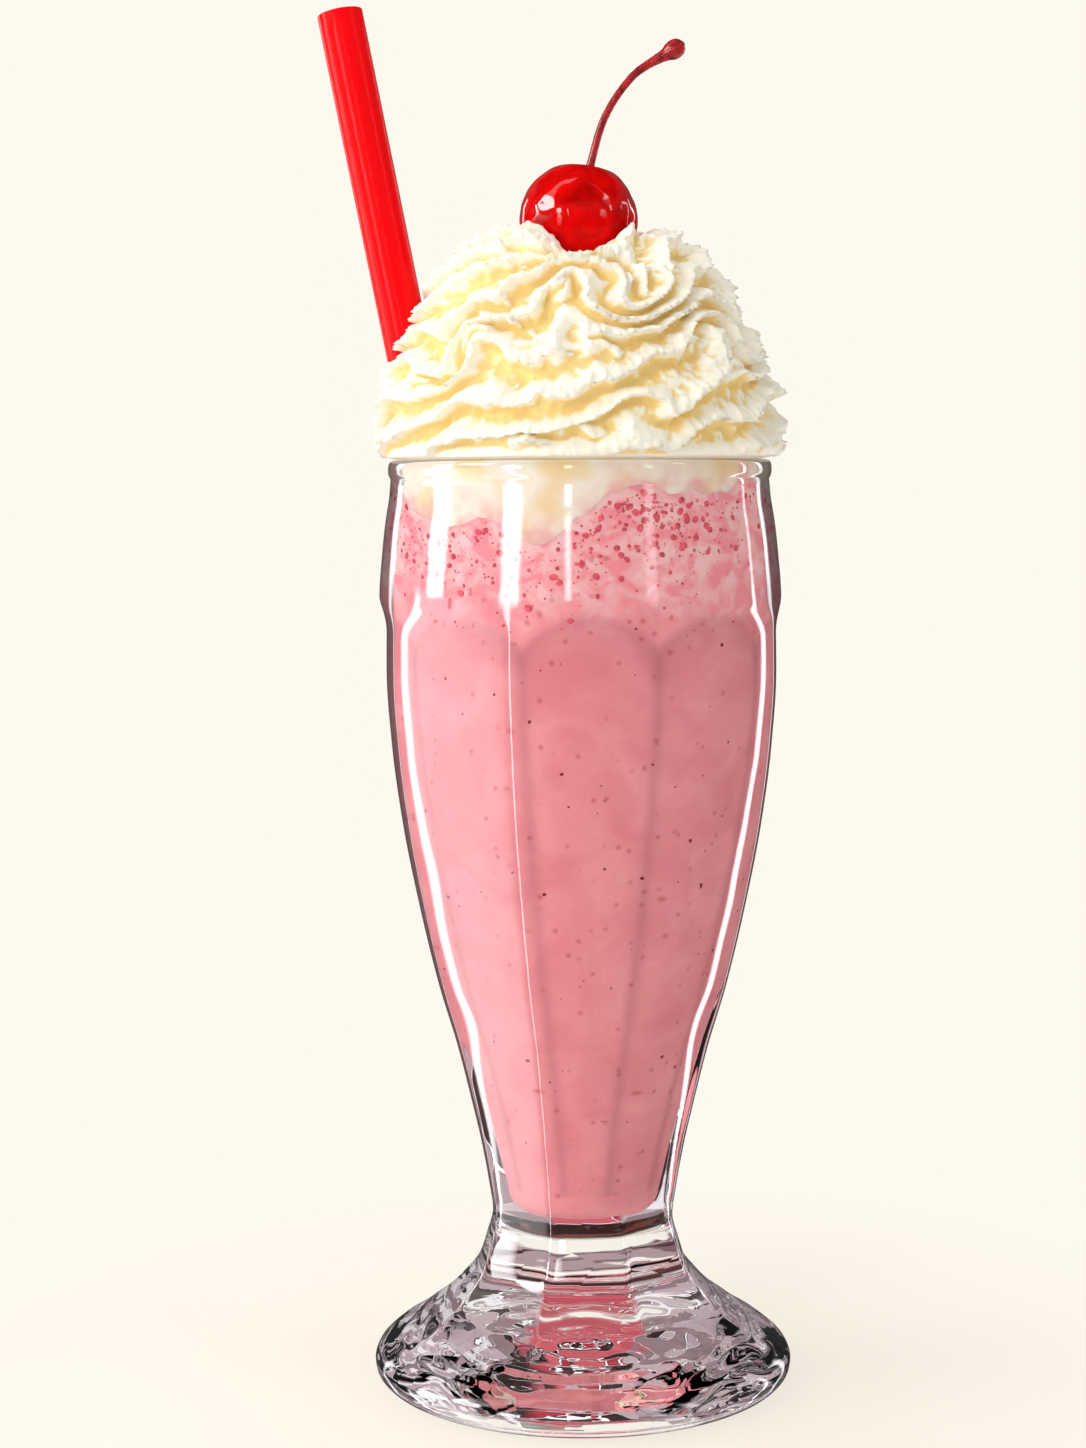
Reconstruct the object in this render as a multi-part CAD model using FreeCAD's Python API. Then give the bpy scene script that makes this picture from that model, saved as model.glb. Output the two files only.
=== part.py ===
"""A strawberry milkshake in a footed soda-fountain glass, with whipped cream, a cherry and a straw.

Frame: millimetres, +Z up, origin at the centre of the foot's underside. -Y is the front.
The glass is one pressed piece: a round foot whose top runs out in petals, a short neck, and a bowl with
eight slightly bowed panels that end in arches under a plain round band and a rolled lip.
The milkshake fills the bowl and stands inside the straw too. The whipped cream is one piped coil that
starts inside the lip, and is open where the straw and the cherry go into it.
"""

import FreeCAD
import Part
import math
import os

Vector = FreeCAD.Vector

# ---- driving dimensions of the glass ------------------------------------------------------------------
GLASS_HEIGHT = 190.0
FOOT_RADIUS = 43.3  # at the widest
FOOT_EDGE_RUN = 4.5  # from the edge of the flat underside out to the widest point
FOOT_EDGE_HEIGHT = 4.4  # height of the widest point
FOOT_TOP_HEIGHT = 28.5  # where the foot's flare ends and the neck begins
NECK_RADIUS = 19.6
NECK_HEIGHT = 35.0  # height of the narrowest point
SHOULDER_RADIUS = 40.9  # at the crest of the arches, where the bowl is widest
BAND_HEIGHT = 28.2  # of the plain round band, from the crest of the arches to the top of the lip
BAND_TAPER = 2.55  # how much narrower the glass is just under the lip than at the arches
LIP_HEIGHT = 3.8
LIP_OVERHANG = 0.45  # how far the rolled lip stands out from the wall under it

PANEL_COUNT = 8
PANEL_TURN = 3.4  # degrees from the front to the middle of the front panel, towards +X
PANEL_BOW = 42.8  # a panel's radius of curvature is this much more than its own radius
RIDGE_SOFTNESS = 0.22  # mm; how much the ridges between panels are rounded off
ARCH_HEIGHT = 6.8
PETAL_END_HEIGHT = 8.2  # where the petals run out near the foot's edge
PETAL_RISE = 6.5  # height over which a petal reaches its full depth
PETAL_DEPTH = 1.9  # times the depth of a panel on the neck

BOWL_FLOOR = 36.0  # height of the inside's lowest point
FLOOR_CORNER_HEIGHT = 5.0  # height over which the floor rounds up into the wall
NECK_WALL = 8.8  # above the floor, at the middle of a panel
BOWL_WALL = 8.2  # half way up the bowl
SHOULDER_WALL = 6.0
RIM_WALL = 2.9
LIP_ROUNDING = 1.2  # radius of the lip's inner edge

# ---- driving dimensions of what is in it --------------------------------------------------------------
MILKSHAKE_DEPTH = 10.0  # of its level, under the top of the lip

STRAW_DIAMETER = 9.3
STRAW_WALL = 0.35
STRAW_END_ROUNDING = 0.15
STRAW_RISE = 91.0  # of its top end above the lip
STRAW_LIP_TURN = -98.0  # degrees about +Z, from the front, to where the straw leans on the lip
STRAW_FLOOR_TURN = -8.0  # the same, to where its foot stands in the floor's corner
STRAW_CLEARANCE = 0.3  # to the inside of the glass at the lip, and to the floor
STRAW_CORNER_CLEARANCE = 0.7  # to the wall at the foot

CREAM_HEIGHT = 46.5  # from the lip to the top of the coil
CREAM_OVERHANG = 1.2  # how far the coil's lowest turn stands out past the lip
ROPE_TURNS = 4.0
ROPE_BULGE = 3.1
RIDGE_BULGE = 0.75
RIDGES_PER_ROPE = 4
CREAM_CRATER_RADIUS = 4.5
CREAM_CRATER_DEPTH = 5.5
CREAM_FRONT_DIP = 5.0  # how much lower the crest is in front of the cherry

CHERRY_RADIUS = 11.9
CHERRY_HEIGHT = 22.6
CHERRY_DIMPLE = 1.7
CHERRY_SEAT = 9.8  # how deep the cherry's underside sits below the top of the coil
CHERRY_TILT = 8.0  # degrees, the stem's end towards +X

STEM_RADIUS = 0.78
STEM_END_RADIUS = 1.75
STEM_REACH = 14.2  # sideways, from the cherry to the stem's end
STEM_RISE = 27.5
STEM_SEAT = 2.2  # how deep the stem's foot sits below the cherry's top

# ---- shape of the curves, as shares of the sizes above ------------------------------------------------
# (share of the rise, share of the run) from the foot's edge in to the neck
FOOT_CURVE = [(0.0, 0.0), (0.08, 0.03), (0.2, 0.16), (0.31, 0.29), (0.405, 0.4), (0.505, 0.545),
              (0.645, 0.695), (0.81, 0.84), (1.0, 0.92)]
# (share of the rise, share of the run) from the neck out to the shoulder
BOWL_CURVE = [(0.0, 0.0), (0.05, 0.04), (0.115, 0.111), (0.185, 0.208), (0.28, 0.351), (0.38, 0.53),
              (0.51, 0.715), (0.645, 0.871), (0.77, 0.968), (0.885, 1.012), (1.0, 1.0)]
# (share of the rise, share of the run) from the shoulder in to the wall under the lip
BAND_CURVE = [(0.0, 0.0), (0.17, 0.08), (0.35, 0.24), (0.52, 0.4), (0.68, 0.6), (0.85, 0.87), (1.0, 1.0)]
# (share of the rise, share of the run) round the foot's edge, from the underside to the widest point
EDGE_CURVE = [(0.0, 0.0), (0.09, 0.38), (0.28, 0.7), (0.58, 0.93), (1.0, 1.0)]
# (share of the height, share of the bottom radius) up the outside of the cream coil
CREAM_CURVE = [(0.0, 0.93), (0.09, 0.985), (0.25, 0.985), (0.36, 0.93), (0.46, 0.885), (0.58, 0.815),
               (0.7, 0.755), (0.82, 0.655), (0.91, 0.54), (0.965, 0.43), (0.985, 0.33)]

PANEL_COLUMNS = 12  # control points across each panel
CREAM_COLUMNS = 72
CREAM_ROWS = 44


def curve_through(stations):
    """A smooth height-to-radius function through the stations, with no overshoot between them."""
    xs = [s[0] for s in stations]
    ys = [s[1] for s in stations]
    chords = [(ys[i + 1] - ys[i]) / (xs[i + 1] - xs[i]) for i in range(len(xs) - 1)]
    slopes = [chords[0]]
    for before, after in zip(chords, chords[1:]):
        slopes.append(0.0 if before * after <= 0 else 2 * before * after / (before + after))
    slopes.append(chords[-1])

    def at(x):
        x = min(max(x, xs[0]), xs[-1])
        i = max(k for k in range(len(xs) - 1) if xs[k] <= x)
        step = xs[i + 1] - xs[i]
        t = (x - xs[i]) / step
        return (
            ys[i] * (1 + 2 * t) * (1 - t) ** 2
            + ys[i + 1] * t * t * (3 - 2 * t)
            + slopes[i] * step * t * (1 - t) ** 2
            - slopes[i + 1] * step * t * t * (1 - t)
        )

    return at


def span(curve, low, high, start, end):
    """A curve of shares laid out from (low, start) to (high, end)."""
    return [(low + (high - low) * rise, start + (end - start) * run) for rise, run in curve]


def soft_min(values, softness):
    """The smallest value, rounded off where two are close."""
    least = min(values)
    return least - softness * math.log(sum(math.exp((least - v) / softness) for v in values))


FOOT_REST_RADIUS = FOOT_RADIUS - FOOT_EDGE_RUN
RIM_RADIUS = SHOULDER_RADIUS - BAND_TAPER
SHOULDER_HEIGHT = GLASS_HEIGHT - BAND_HEIGHT
MILKSHAKE_LEVEL = GLASS_HEIGHT - MILKSHAKE_DEPTH
LIP_START = GLASS_HEIGHT - LIP_HEIGHT
LIP_MIDDLE = GLASS_HEIGHT - LIP_HEIGHT * 0.45
LIP_TOP_RADIUS = RIM_RADIUS - RIM_WALL * 0.38


def round_outline():
    """Radius of the glass with no panels cut, by height."""
    edge = span(EDGE_CURVE, 0.0, FOOT_EDGE_HEIGHT, FOOT_REST_RADIUS, FOOT_RADIUS)
    neck_join = NECK_RADIUS + (FOOT_RADIUS - NECK_RADIUS) * (1 - FOOT_CURVE[-1][1])
    flare = span(FOOT_CURVE[:-1], FOOT_EDGE_HEIGHT, FOOT_TOP_HEIGHT, FOOT_RADIUS, NECK_RADIUS)
    neck = [(FOOT_TOP_HEIGHT, neck_join)]
    bowl = span(BOWL_CURVE, NECK_HEIGHT, SHOULDER_HEIGHT, NECK_RADIUS, SHOULDER_RADIUS)
    band = span(BAND_CURVE, SHOULDER_HEIGHT, LIP_START, SHOULDER_RADIUS, RIM_RADIUS)
    lip = [
        (LIP_START + LIP_HEIGHT * 0.2, RIM_RADIUS + LIP_OVERHANG * 0.6),
        (LIP_MIDDLE, RIM_RADIUS + LIP_OVERHANG),
        (GLASS_HEIGHT - LIP_HEIGHT * 0.14, RIM_RADIUS + LIP_OVERHANG * 0.3),
        (GLASS_HEIGHT, LIP_TOP_RADIUS),
    ]
    return curve_through(edge + flare[1:] + neck + bowl + band[1:] + lip)


def panel_middle(ridge_radius):
    """Radius at the middle of a panel whose ridges are at ridge_radius."""
    half = math.cos(math.pi / PANEL_COUNT)
    return math.sqrt(ridge_radius**2 + 2 * ridge_radius * PANEL_BOW * half + PANEL_BOW**2) - PANEL_BOW


def inner_stations():
    """The bowl's inside, from just above the floor to under the lip."""
    wall = curve_through([(0.0, NECK_WALL), (0.5, BOWL_WALL), (1.0, SHOULDER_WALL)])
    outline = round_outline()
    first = BOWL_FLOOR + FLOOR_CORNER_HEIGHT
    stations = []
    for share in (0.0, 0.14, 0.28, 0.42, 0.56, 0.7, 0.85, 1.0):
        height = first + (SHOULDER_HEIGHT - first) * share
        stations.append((height, panel_middle(outline(height)) - wall(share)))
    stations.append((LIP_START, RIM_RADIUS - RIM_WALL))
    return stations


def panel_depth_share(height):
    """1 where the panels have their full depth, more on the petals, and under 0 where they are outside."""
    if height > SHOULDER_HEIGHT - ARCH_HEIGHT:
        t = (SHOULDER_HEIGHT - height) / ARCH_HEIGHT
        return 1 - (1 - t) ** 2 if t > 0 else 2 * t
    t = (height - PETAL_END_HEIGHT) / PETAL_RISE
    if t < 0:
        return 2 * PETAL_DEPTH * t
    if t < 1:
        return PETAL_DEPTH * (1 - (1 - t) ** 2)
    fade = min(1.0, (height - PETAL_END_HEIGHT - PETAL_RISE) / (NECK_HEIGHT - PETAL_END_HEIGHT - PETAL_RISE))
    return PETAL_DEPTH + (1 - PETAL_DEPTH) * fade


def glass_radius(outline, angle, height):
    """The outside's radius at an angle in degrees about +Z, from the front, and a height."""
    full = outline(height)
    middle = full - panel_depth_share(height) * (full - panel_middle(full))
    pitch = 360.0 / PANEL_COUNT
    values = [full]
    for k in range(-1, 2):
        nearest = round((angle - PANEL_TURN) / pitch) + k
        turn = math.cos(math.radians(angle - PANEL_TURN - nearest * pitch))
        if turn > 0.5:
            across = PANEL_BOW * turn
            values.append(math.sqrt(across**2 + middle**2 + 2 * middle * PANEL_BOW) - across)
    return soft_min(values, RIDGE_SOFTNESS)


def ring_point(radius, angle, height):
    """A point at an angle in degrees from the front, turning towards +X."""
    turn = math.radians(angle)
    return Vector(radius * math.sin(turn), -radius * math.cos(turn), height)


def skin(rings):
    """A closed solid whose side is one smooth surface over rings of control points, with flat ends."""
    across = len(rings[0])
    up = len(rings)
    surface = Part.BSplineSurface()
    surface.buildFromPolesMultsKnots(
        [[ring[i] for ring in rings] for i in range(across)],
        [1] * (across + 1),
        [4] + [1] * (up - 4) + [4],
        [float(i) for i in range(across + 1)],
        [float(i) for i in range(up - 2)],
        True,
        False,
        3,
        3,
    )
    side = surface.toShape()
    faces = [side]
    for end in (rings[0], rings[-1]):
        level = end[0].z
        closed = [e for e in side.Edges if e.isClosed()]
        edge = next(e for e in closed if all(abs(v.Z - level) < 1e-6 for v in e.Vertexes))
        faces.append(Part.Face(Part.Wire([edge])))
    shell = Part.Shell(faces)
    shell.sewShape()
    solid = Part.Solid(Part.Shell(shell.Faces))
    if solid.Volume < 0:
        solid.reverse()
    return solid


def revolved(points):
    """A solid turned about Z from a closed outline of (radius, height) points and edges."""
    return Part.Face(Part.Wire(points)).revolve(Vector(0, 0, 0), Vector(0, 0, 1), 360)


def flat_vector(radius, height):
    return Vector(radius, 0, height)


def smooth_edge(stations, slope_start=None):
    """One smooth edge through (height, radius) stations, in the XZ plane."""
    curve = Part.BSplineCurve()
    points = [flat_vector(radius, height) for height, radius in stations]
    if slope_start:
        curve.interpolate(Points=points, InitialTangent=slope_start, FinalTangent=points[-1] - points[-2])
    else:
        curve.interpolate(points)
    return curve.toShape()


def bowl_inside():
    """The room inside the glass, up to the top of the lip."""
    stations = inner_stations()
    floor_point = flat_vector(0, BOWL_FLOOR)
    first = flat_vector(stations[0][1], stations[0][0])
    wall_slope = flat_vector(stations[1][1] - stations[0][1], stations[1][0] - stations[0][0]).normalize()
    floor_curve = Part.BSplineCurve()
    floor_middle = flat_vector(stations[0][1] * 0.72, BOWL_FLOOR + FLOOR_CORNER_HEIGHT * 0.24)
    floor_curve.interpolate(
        Points=[floor_point, floor_middle, first],
        InitialTangent=Vector(1, 0, 0),
        FinalTangent=wall_slope,
    )
    wall = smooth_edge(stations, wall_slope)
    last = flat_vector(stations[-1][1], stations[-1][0])
    lip_start = flat_vector(last.x, GLASS_HEIGHT - LIP_ROUNDING)
    lip_edge = flat_vector(last.x + LIP_ROUNDING, GLASS_HEIGHT)
    part_way = LIP_ROUNDING * (1 - math.sqrt(0.5))
    lip = Part.Arc(lip_start, flat_vector(last.x + part_way, GLASS_HEIGHT - part_way), lip_edge)
    top = flat_vector(0, GLASS_HEIGHT)
    return revolved([
        floor_curve.toShape(),
        wall,
        Part.makeLine(last, lip_start),
        lip.toShape(),
        Part.makeLine(lip_edge, top),
        Part.makeLine(top, floor_point),
    ])


def glass_heights():
    """Heights of the rings of control points, closer together round the foot, the arches and the lip."""
    zones = [
        (0.0, FOOT_EDGE_HEIGHT, 6),
        (FOOT_EDGE_HEIGHT, FOOT_TOP_HEIGHT, 20),
        (FOOT_TOP_HEIGHT, NECK_HEIGHT + 8, 6),
        (NECK_HEIGHT + 8, SHOULDER_HEIGHT - 2 * ARCH_HEIGHT, 16),
        (SHOULDER_HEIGHT - 2 * ARCH_HEIGHT, SHOULDER_HEIGHT + 2, 18),
        (SHOULDER_HEIGHT + 2, LIP_START, 6),
        (LIP_START, GLASS_HEIGHT, 8),
    ]
    heights = [0.0]
    for low, high, steps in zones:
        heights += [low + (high - low) * (i + 1) / steps for i in range(steps)]
    return heights


def make_glass(inside):
    outline = round_outline()
    columns = PANEL_COUNT * PANEL_COLUMNS
    step = 360.0 / columns
    pole_gain = 3 / (2 + math.cos(math.radians(step)))  # a smooth ring lies just inside its control points
    rings = []
    for height in glass_heights():
        rings.append([
            ring_point(glass_radius(outline, i * step, height) * pole_gain, i * step, height)
            for i in range(columns)
        ])
    body = skin(rings)
    return body.cut(inside)


def straw_line():
    """The straw's foot and top on its own axis: it stands in the floor's corner and leans on the lip."""
    stations = inner_stations()
    floor_height, floor_radius = stations[0]
    lip_height = GLASS_HEIGHT - LIP_ROUNDING
    lip_radius = stations[-1][1]
    half = STRAW_DIAMETER / 2
    foot = ring_point(floor_radius - half - STRAW_CORNER_CLEARANCE, STRAW_FLOOR_TURN, floor_height)
    at_lip = ring_point(lip_radius - half - STRAW_CLEARANCE, STRAW_LIP_TURN, lip_height)
    run = (at_lip - foot) * (1 / (lip_height - floor_height))
    foot += run * (STRAW_CLEARANCE + half * math.hypot(run.x, run.y))
    top = at_lip + run * (GLASS_HEIGHT + STRAW_RISE - lip_height)
    return foot, top


def make_straw():
    """The straw's tube, and the solid rod of its outside."""
    foot, top = straw_line()
    axis = (top - foot).normalize()
    length = (top - foot).Length
    outer = STRAW_DIAMETER / 2
    rod = Part.makeCylinder(outer, length, foot, axis)
    bore = Part.makeCylinder(outer - STRAW_WALL, length + 2, foot - axis, axis)
    tube = rod.cut(bore)
    top_outer = [
        e for e in tube.Edges
        if e.isClosed() and abs(e.CenterOfMass.distanceToPoint(top)) < 0.01 and e.Curve.Radius > outer - 0.01
    ]
    return tube.makeFillet(STRAW_END_ROUNDING, top_outer), rod


def cream_bulge(turn, rise):
    """How far the cream stands out from its mean outline, at a turn in degrees and a share of its height."""
    rope = rise * ROPE_TURNS - turn / 360.0 + 0.09 * math.sin(math.radians(2 * turn + 40))
    across = rope - math.floor(rope)
    swell = math.sqrt(max(0.0, 1 - (2 * across - 1) ** 2)) - 0.72
    ridge = math.cos(2 * math.pi * (RIDGES_PER_ROPE * rope + 0.22 * math.sin(math.radians(3 * turn))))
    lumps = math.sin(math.radians(5 * turn + 300 * rise)) * math.cos(math.radians(2 * turn - 500 * rise))
    return ROPE_BULGE * swell + RIDGE_BULGE * ridge + 0.7 * lumps


def cream_path():
    """Points of the cream's mean outline, from the lip up over the crest and down into the crater."""
    bottom_radius = RIM_RADIUS + LIP_OVERHANG + CREAM_OVERHANG
    path = [(bottom_radius * run, GLASS_HEIGHT + CREAM_HEIGHT * rise) for rise, run in CREAM_CURVE]
    crest_radius, crest_height = path[-1]
    for share in (0.3, 0.6, 0.85, 1.0):
        radius = crest_radius + (CREAM_CRATER_RADIUS - crest_radius) * share
        path.append((radius, crest_height - CREAM_CRATER_DEPTH * share**2))
    return path


def along(path, count):
    """count points evenly spaced along a path of (radius, height), each with its outward direction."""
    lengths = [0.0]
    for a, b in zip(path, path[1:]):
        lengths.append(lengths[-1] + math.hypot(b[0] - a[0], b[1] - a[1]))
    radius_at = curve_through(list(zip(lengths, [p[0] for p in path])))
    height_at = curve_through(list(zip(lengths, [p[1] for p in path])))
    total = lengths[-1]
    found = []
    for i in range(count):
        here = total * i / (count - 1)
        ahead = min(total, here + 0.5)
        behind = max(0.0, here - 0.5)
        d_radius = radius_at(ahead) - radius_at(behind)
        d_height = height_at(ahead) - height_at(behind)
        size = math.hypot(d_radius, d_height)
        found.append((here / total, radius_at(here), height_at(here), d_height / size, -d_radius / size))
    return found


def make_cream(inside, rod, cherry):
    rings = []
    stations = along(cream_path(), CREAM_ROWS)
    for row, (share, radius, height, out_radius, out_height) in enumerate(stations):
        ring = []
        for i in range(CREAM_COLUMNS):
            turn = 360.0 * i / CREAM_COLUMNS
            ends = min(1.0, share / 0.06, (1 - share) / 0.12)
            bulge = cream_bulge(turn, share) * ends
            front = max(0.0, math.cos(math.radians(turn))) ** 6
            dip = CREAM_FRONT_DIP * front * max(0.0, (share - 0.72) / 0.28) * min(1.0, (1 - share) / 0.05)
            flat = row in (0, len(stations) - 1)
            ring.append(ring_point(
                radius + bulge * out_radius,
                turn,
                height if flat else max(GLASS_HEIGHT + 0.15, height + bulge * out_height - dip),
            ))
        rings.append(ring)
    coil = skin(rings)
    slab = Part.makeBox(200, 200, GLASS_HEIGHT - MILKSHAKE_LEVEL, Vector(-100, -100, MILKSHAKE_LEVEL))
    plug = inside.common(slab)
    return coil.fuse(plug).cut(rod).cut(cherry)


def make_milkshake(inside, tube):
    slab = Part.makeBox(200, 200, MILKSHAKE_LEVEL, Vector(-100, -100, 0))
    return inside.common(slab).cut(tube)


def cherry_placement():
    centre = Vector(0, 0, GLASS_HEIGHT + CREAM_HEIGHT + CHERRY_HEIGHT / 2 - CHERRY_SEAT)
    return FreeCAD.Placement(centre, FreeCAD.Rotation(Vector(0, 1, 0), CHERRY_TILT))


def make_cherry():
    """A round fruit, a little flatter than a ball, with a dimple where the stem goes in."""
    half = CHERRY_HEIGHT / 2
    stations = [
        flat_vector(0, half - CHERRY_DIMPLE),
        flat_vector(CHERRY_RADIUS * 0.14, half - CHERRY_DIMPLE * 0.62),
        flat_vector(CHERRY_RADIUS * 0.36, half - CHERRY_DIMPLE * 0.1),
        flat_vector(CHERRY_RADIUS * 0.74, half * 0.74),
        flat_vector(CHERRY_RADIUS, half * 0.08),
        flat_vector(CHERRY_RADIUS * 0.8, -half * 0.6),
        flat_vector(CHERRY_RADIUS * 0.42, -half * 0.92),
        flat_vector(0, -half),
    ]
    outline = Part.BSplineCurve()
    outline.interpolate(Points=stations, InitialTangent=Vector(1, 0, 0), FinalTangent=Vector(-1, 0, 0))
    cherry = revolved([outline.toShape(), Part.makeLine(stations[-1], stations[0])])
    cherry.Placement = cherry_placement()
    return cherry


def stem_spine():
    """The stem's middle line: a run up out of the dimple that leans over more and more towards +X."""
    foot = Vector(0.6, 0, CHERRY_HEIGHT / 2 - STEM_SEAT)
    curve = Part.BSplineCurve()
    curve.interpolate(
        Points=[
            foot,
            foot + Vector(STEM_REACH * 0.1, 0.4, STEM_RISE * 0.36),
            foot + Vector(STEM_REACH * 0.42, 0.9, STEM_RISE * 0.74),
            foot + Vector(STEM_REACH, 1.2, STEM_RISE),
        ],
        InitialTangent=Vector(0.1, 0, 1),
        FinalTangent=Vector(1.2, 0.1, 0.8),
    )
    return curve


def make_stem(cherry):
    """Round sections along the stem's spine, thicker at the foot, and swelling into the knob at its end."""
    spine = stem_spine()
    first = spine.FirstParameter
    last = spine.LastParameter
    widths = curve_through([(0.0, 1.25), (0.12, 1.02), (0.6, 0.96), (0.8, 1.15), (0.92, 1.9), (1.0, 2.2)])
    sections = []
    for i in range(15):
        share = i / 14
        where = first + (last - first) * share
        radius = STEM_RADIUS * widths(share)
        circle = Part.Circle(spine.value(where), spine.tangent(where)[0], radius)
        sections.append(Part.Wire([circle.toShape()]))
    stalk = Part.makeLoft(sections, True, False)
    knob = Part.makeSphere(STEM_END_RADIUS, spine.value(last))
    stem = stalk.fuse(knob)
    stem.Placement = cherry_placement()
    return stem.cut(cherry)


def only_solid(shape):
    """The one solid of a shape that has to be in one piece."""
    solids = sorted(shape.Solids, key=lambda s: s.Volume)
    print("  solids:", [round(s.Volume, 2) for s in solids], "valid:", [s.isValid() for s in solids])
    return solids[-1]


def main():
    os.makedirs("parts", exist_ok=True)
    inside = bowl_inside()
    tube, rod = make_straw()
    cherry = make_cherry()
    nodes = {
        "glass": make_glass(inside),
        "milkshake": make_milkshake(inside, tube),
        "whipped_cream": make_cream(inside, rod, cherry),
        "cherry": cherry,
        "cherry_stem": make_stem(cherry),
        "straw": tube,
    }
    for name, shape in nodes.items():
        print(name)
        only_solid(shape).exportStep(f"parts/{name}.step")


main()
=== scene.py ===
"""A strawberry milkshake in a soda-fountain glass, with whipped cream, a cherry and a straw: its looks.

Laid out as an add-on and run as a script. Lengths are in metres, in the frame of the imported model:
+Z up, -Y the front, the origin under the middle of the foot. A turn is an angle about +Z from the front,
growing towards +X.
"""

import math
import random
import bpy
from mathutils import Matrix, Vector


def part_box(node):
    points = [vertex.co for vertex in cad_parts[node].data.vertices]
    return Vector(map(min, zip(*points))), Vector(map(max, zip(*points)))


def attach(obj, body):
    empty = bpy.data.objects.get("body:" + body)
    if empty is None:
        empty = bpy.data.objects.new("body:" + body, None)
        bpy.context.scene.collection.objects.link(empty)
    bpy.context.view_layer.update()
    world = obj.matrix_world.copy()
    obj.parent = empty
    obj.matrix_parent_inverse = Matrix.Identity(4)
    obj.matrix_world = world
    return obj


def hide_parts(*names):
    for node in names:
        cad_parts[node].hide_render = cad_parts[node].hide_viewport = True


bl_info = {
    "name": "Strawberry Milkshake",
    "version": (1, 0, 0),
    "blender": (4, 5, 0),
    "location": "3D View > Sidebar > Milkshake",
    "description": "Models the glass, the drink, the cream, the cherry and the straw of a milkshake",
    "category": "Object",
}

import bmesh
import bpy
from bpy.props import FloatProperty, FloatVectorProperty, IntProperty, PointerProperty
from mathutils import Matrix, Vector, noise

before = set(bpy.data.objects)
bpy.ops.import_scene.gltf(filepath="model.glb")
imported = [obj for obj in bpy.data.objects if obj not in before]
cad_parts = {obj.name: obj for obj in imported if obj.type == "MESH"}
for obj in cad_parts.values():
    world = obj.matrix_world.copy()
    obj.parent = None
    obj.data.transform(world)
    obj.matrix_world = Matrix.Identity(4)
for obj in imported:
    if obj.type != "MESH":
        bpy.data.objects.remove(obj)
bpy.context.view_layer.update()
GLASS_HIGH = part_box("glass")[1]

MM = 0.001
TAU = 2 * math.pi

# Curves as (share of the rise, share of the run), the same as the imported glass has.
FOOT_EDGE = [(0.0, 0.0), (0.09, 0.38), (0.28, 0.7), (0.58, 0.93), (1.0, 1.0)]
FOOT_FLARE = [(0.0, 0.0), (0.08, 0.03), (0.2, 0.16), (0.31, 0.29), (0.405, 0.4), (0.505, 0.545),
              (0.645, 0.695), (0.81, 0.84), (1.0, 0.92)]
BOWL_RISE = [(0.0, 0.0), (0.05, 0.04), (0.115, 0.111), (0.185, 0.208), (0.28, 0.351), (0.38, 0.53),
             (0.51, 0.715), (0.645, 0.871), (0.77, 0.968), (0.885, 1.012), (1.0, 1.0)]
BAND_RISE = [(0.0, 0.0), (0.17, 0.08), (0.35, 0.24), (0.52, 0.4), (0.68, 0.6), (0.85, 0.87), (1.0, 1.0)]


def length(name, description, default):
    return FloatProperty(name=name, description=description, default=default, unit="LENGTH", precision=5)


def colour(name, description, default):
    return FloatVectorProperty(name=name, description=description, default=default, subtype="COLOR",
                               size=3, min=0.0, max=1.0)


class GlassSettings(bpy.types.PropertyGroup):
    height: length("Height", "From the underside to the top of the lip", GLASS_HIGH.z)
    foot_radius: length("Foot radius", "At the foot's widest", min(GLASS_HIGH.x, GLASS_HIGH.y) - 0.01 * MM)
    rest_radius: length("Rest radius", "Of the flat underside", 38.8 * MM)
    foot_edge_height: length("Foot edge height", "Height of the foot's widest point", 4.4 * MM)
    foot_top_height: length("Foot top height", "Where the flare meets the neck", 28.5 * MM)
    neck_radius: length("Neck radius", "At the narrowest point", 19.6 * MM)
    neck_height: length("Neck height", "Height of the narrowest point", 35.0 * MM)
    shoulder_radius: length("Shoulder radius", "At the crest of the arches", 40.9 * MM)
    band_height: length("Band height", "From the crest of the arches to the top of the lip", 28.2 * MM)
    rim_radius: length("Rim radius", "Outside, just under the rolled lip", 38.35 * MM)
    lip_height: length("Lip height", "Of the rolled lip", 3.8 * MM)
    lip_overhang: length("Lip overhang", "How far the lip stands out from the wall", 0.5 * MM)
    lip_rounding: length("Lip rounding", "Radius of the lip's inner edge", 1.2 * MM)
    arch_height: length("Arch height", "Of the panels' arched tops", 6.8 * MM)
    panel_bow: length("Panel bow", "What a panel's curvature adds to its own radius", 42.8 * MM)
    ridge_softness: length("Ridge softness", "How far the ridges between panels are rounded", 0.22 * MM)
    petal_end_height: length("Petal end height", "Where the petals run out on the foot", 8.2 * MM)
    petal_rise: length("Petal rise", "Height over which a petal reaches its depth", 6.5 * MM)
    petal_depth: FloatProperty(name="Petal depth", description="Times the depth of a panel on the neck",
                               default=1.9)
    floor_height: length("Floor height", "Of the lowest point inside", 36.0 * MM)
    floor_corner: length("Floor corner", "Height over which the floor rounds into the wall", 5.0 * MM)
    neck_wall: length("Neck wall", "Just above the floor", 8.8 * MM)
    bowl_wall: length("Bowl wall", "Half way up", 8.2 * MM)
    shoulder_wall: length("Shoulder wall", "At the arches", 6.0 * MM)
    rim_wall: length("Rim wall", "Under the lip", 2.9 * MM)
    panel_count: IntProperty(name="Panels", description="Number of panels and petals", default=8, min=3)
    panel_turn: FloatProperty(name="Panel turn", description="From the front to the middle of a panel",
                              default=math.radians(3.4), subtype="ANGLE")
    tint: colour("Tint", "Of the clear glass", (0.985, 0.99, 0.99))


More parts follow.
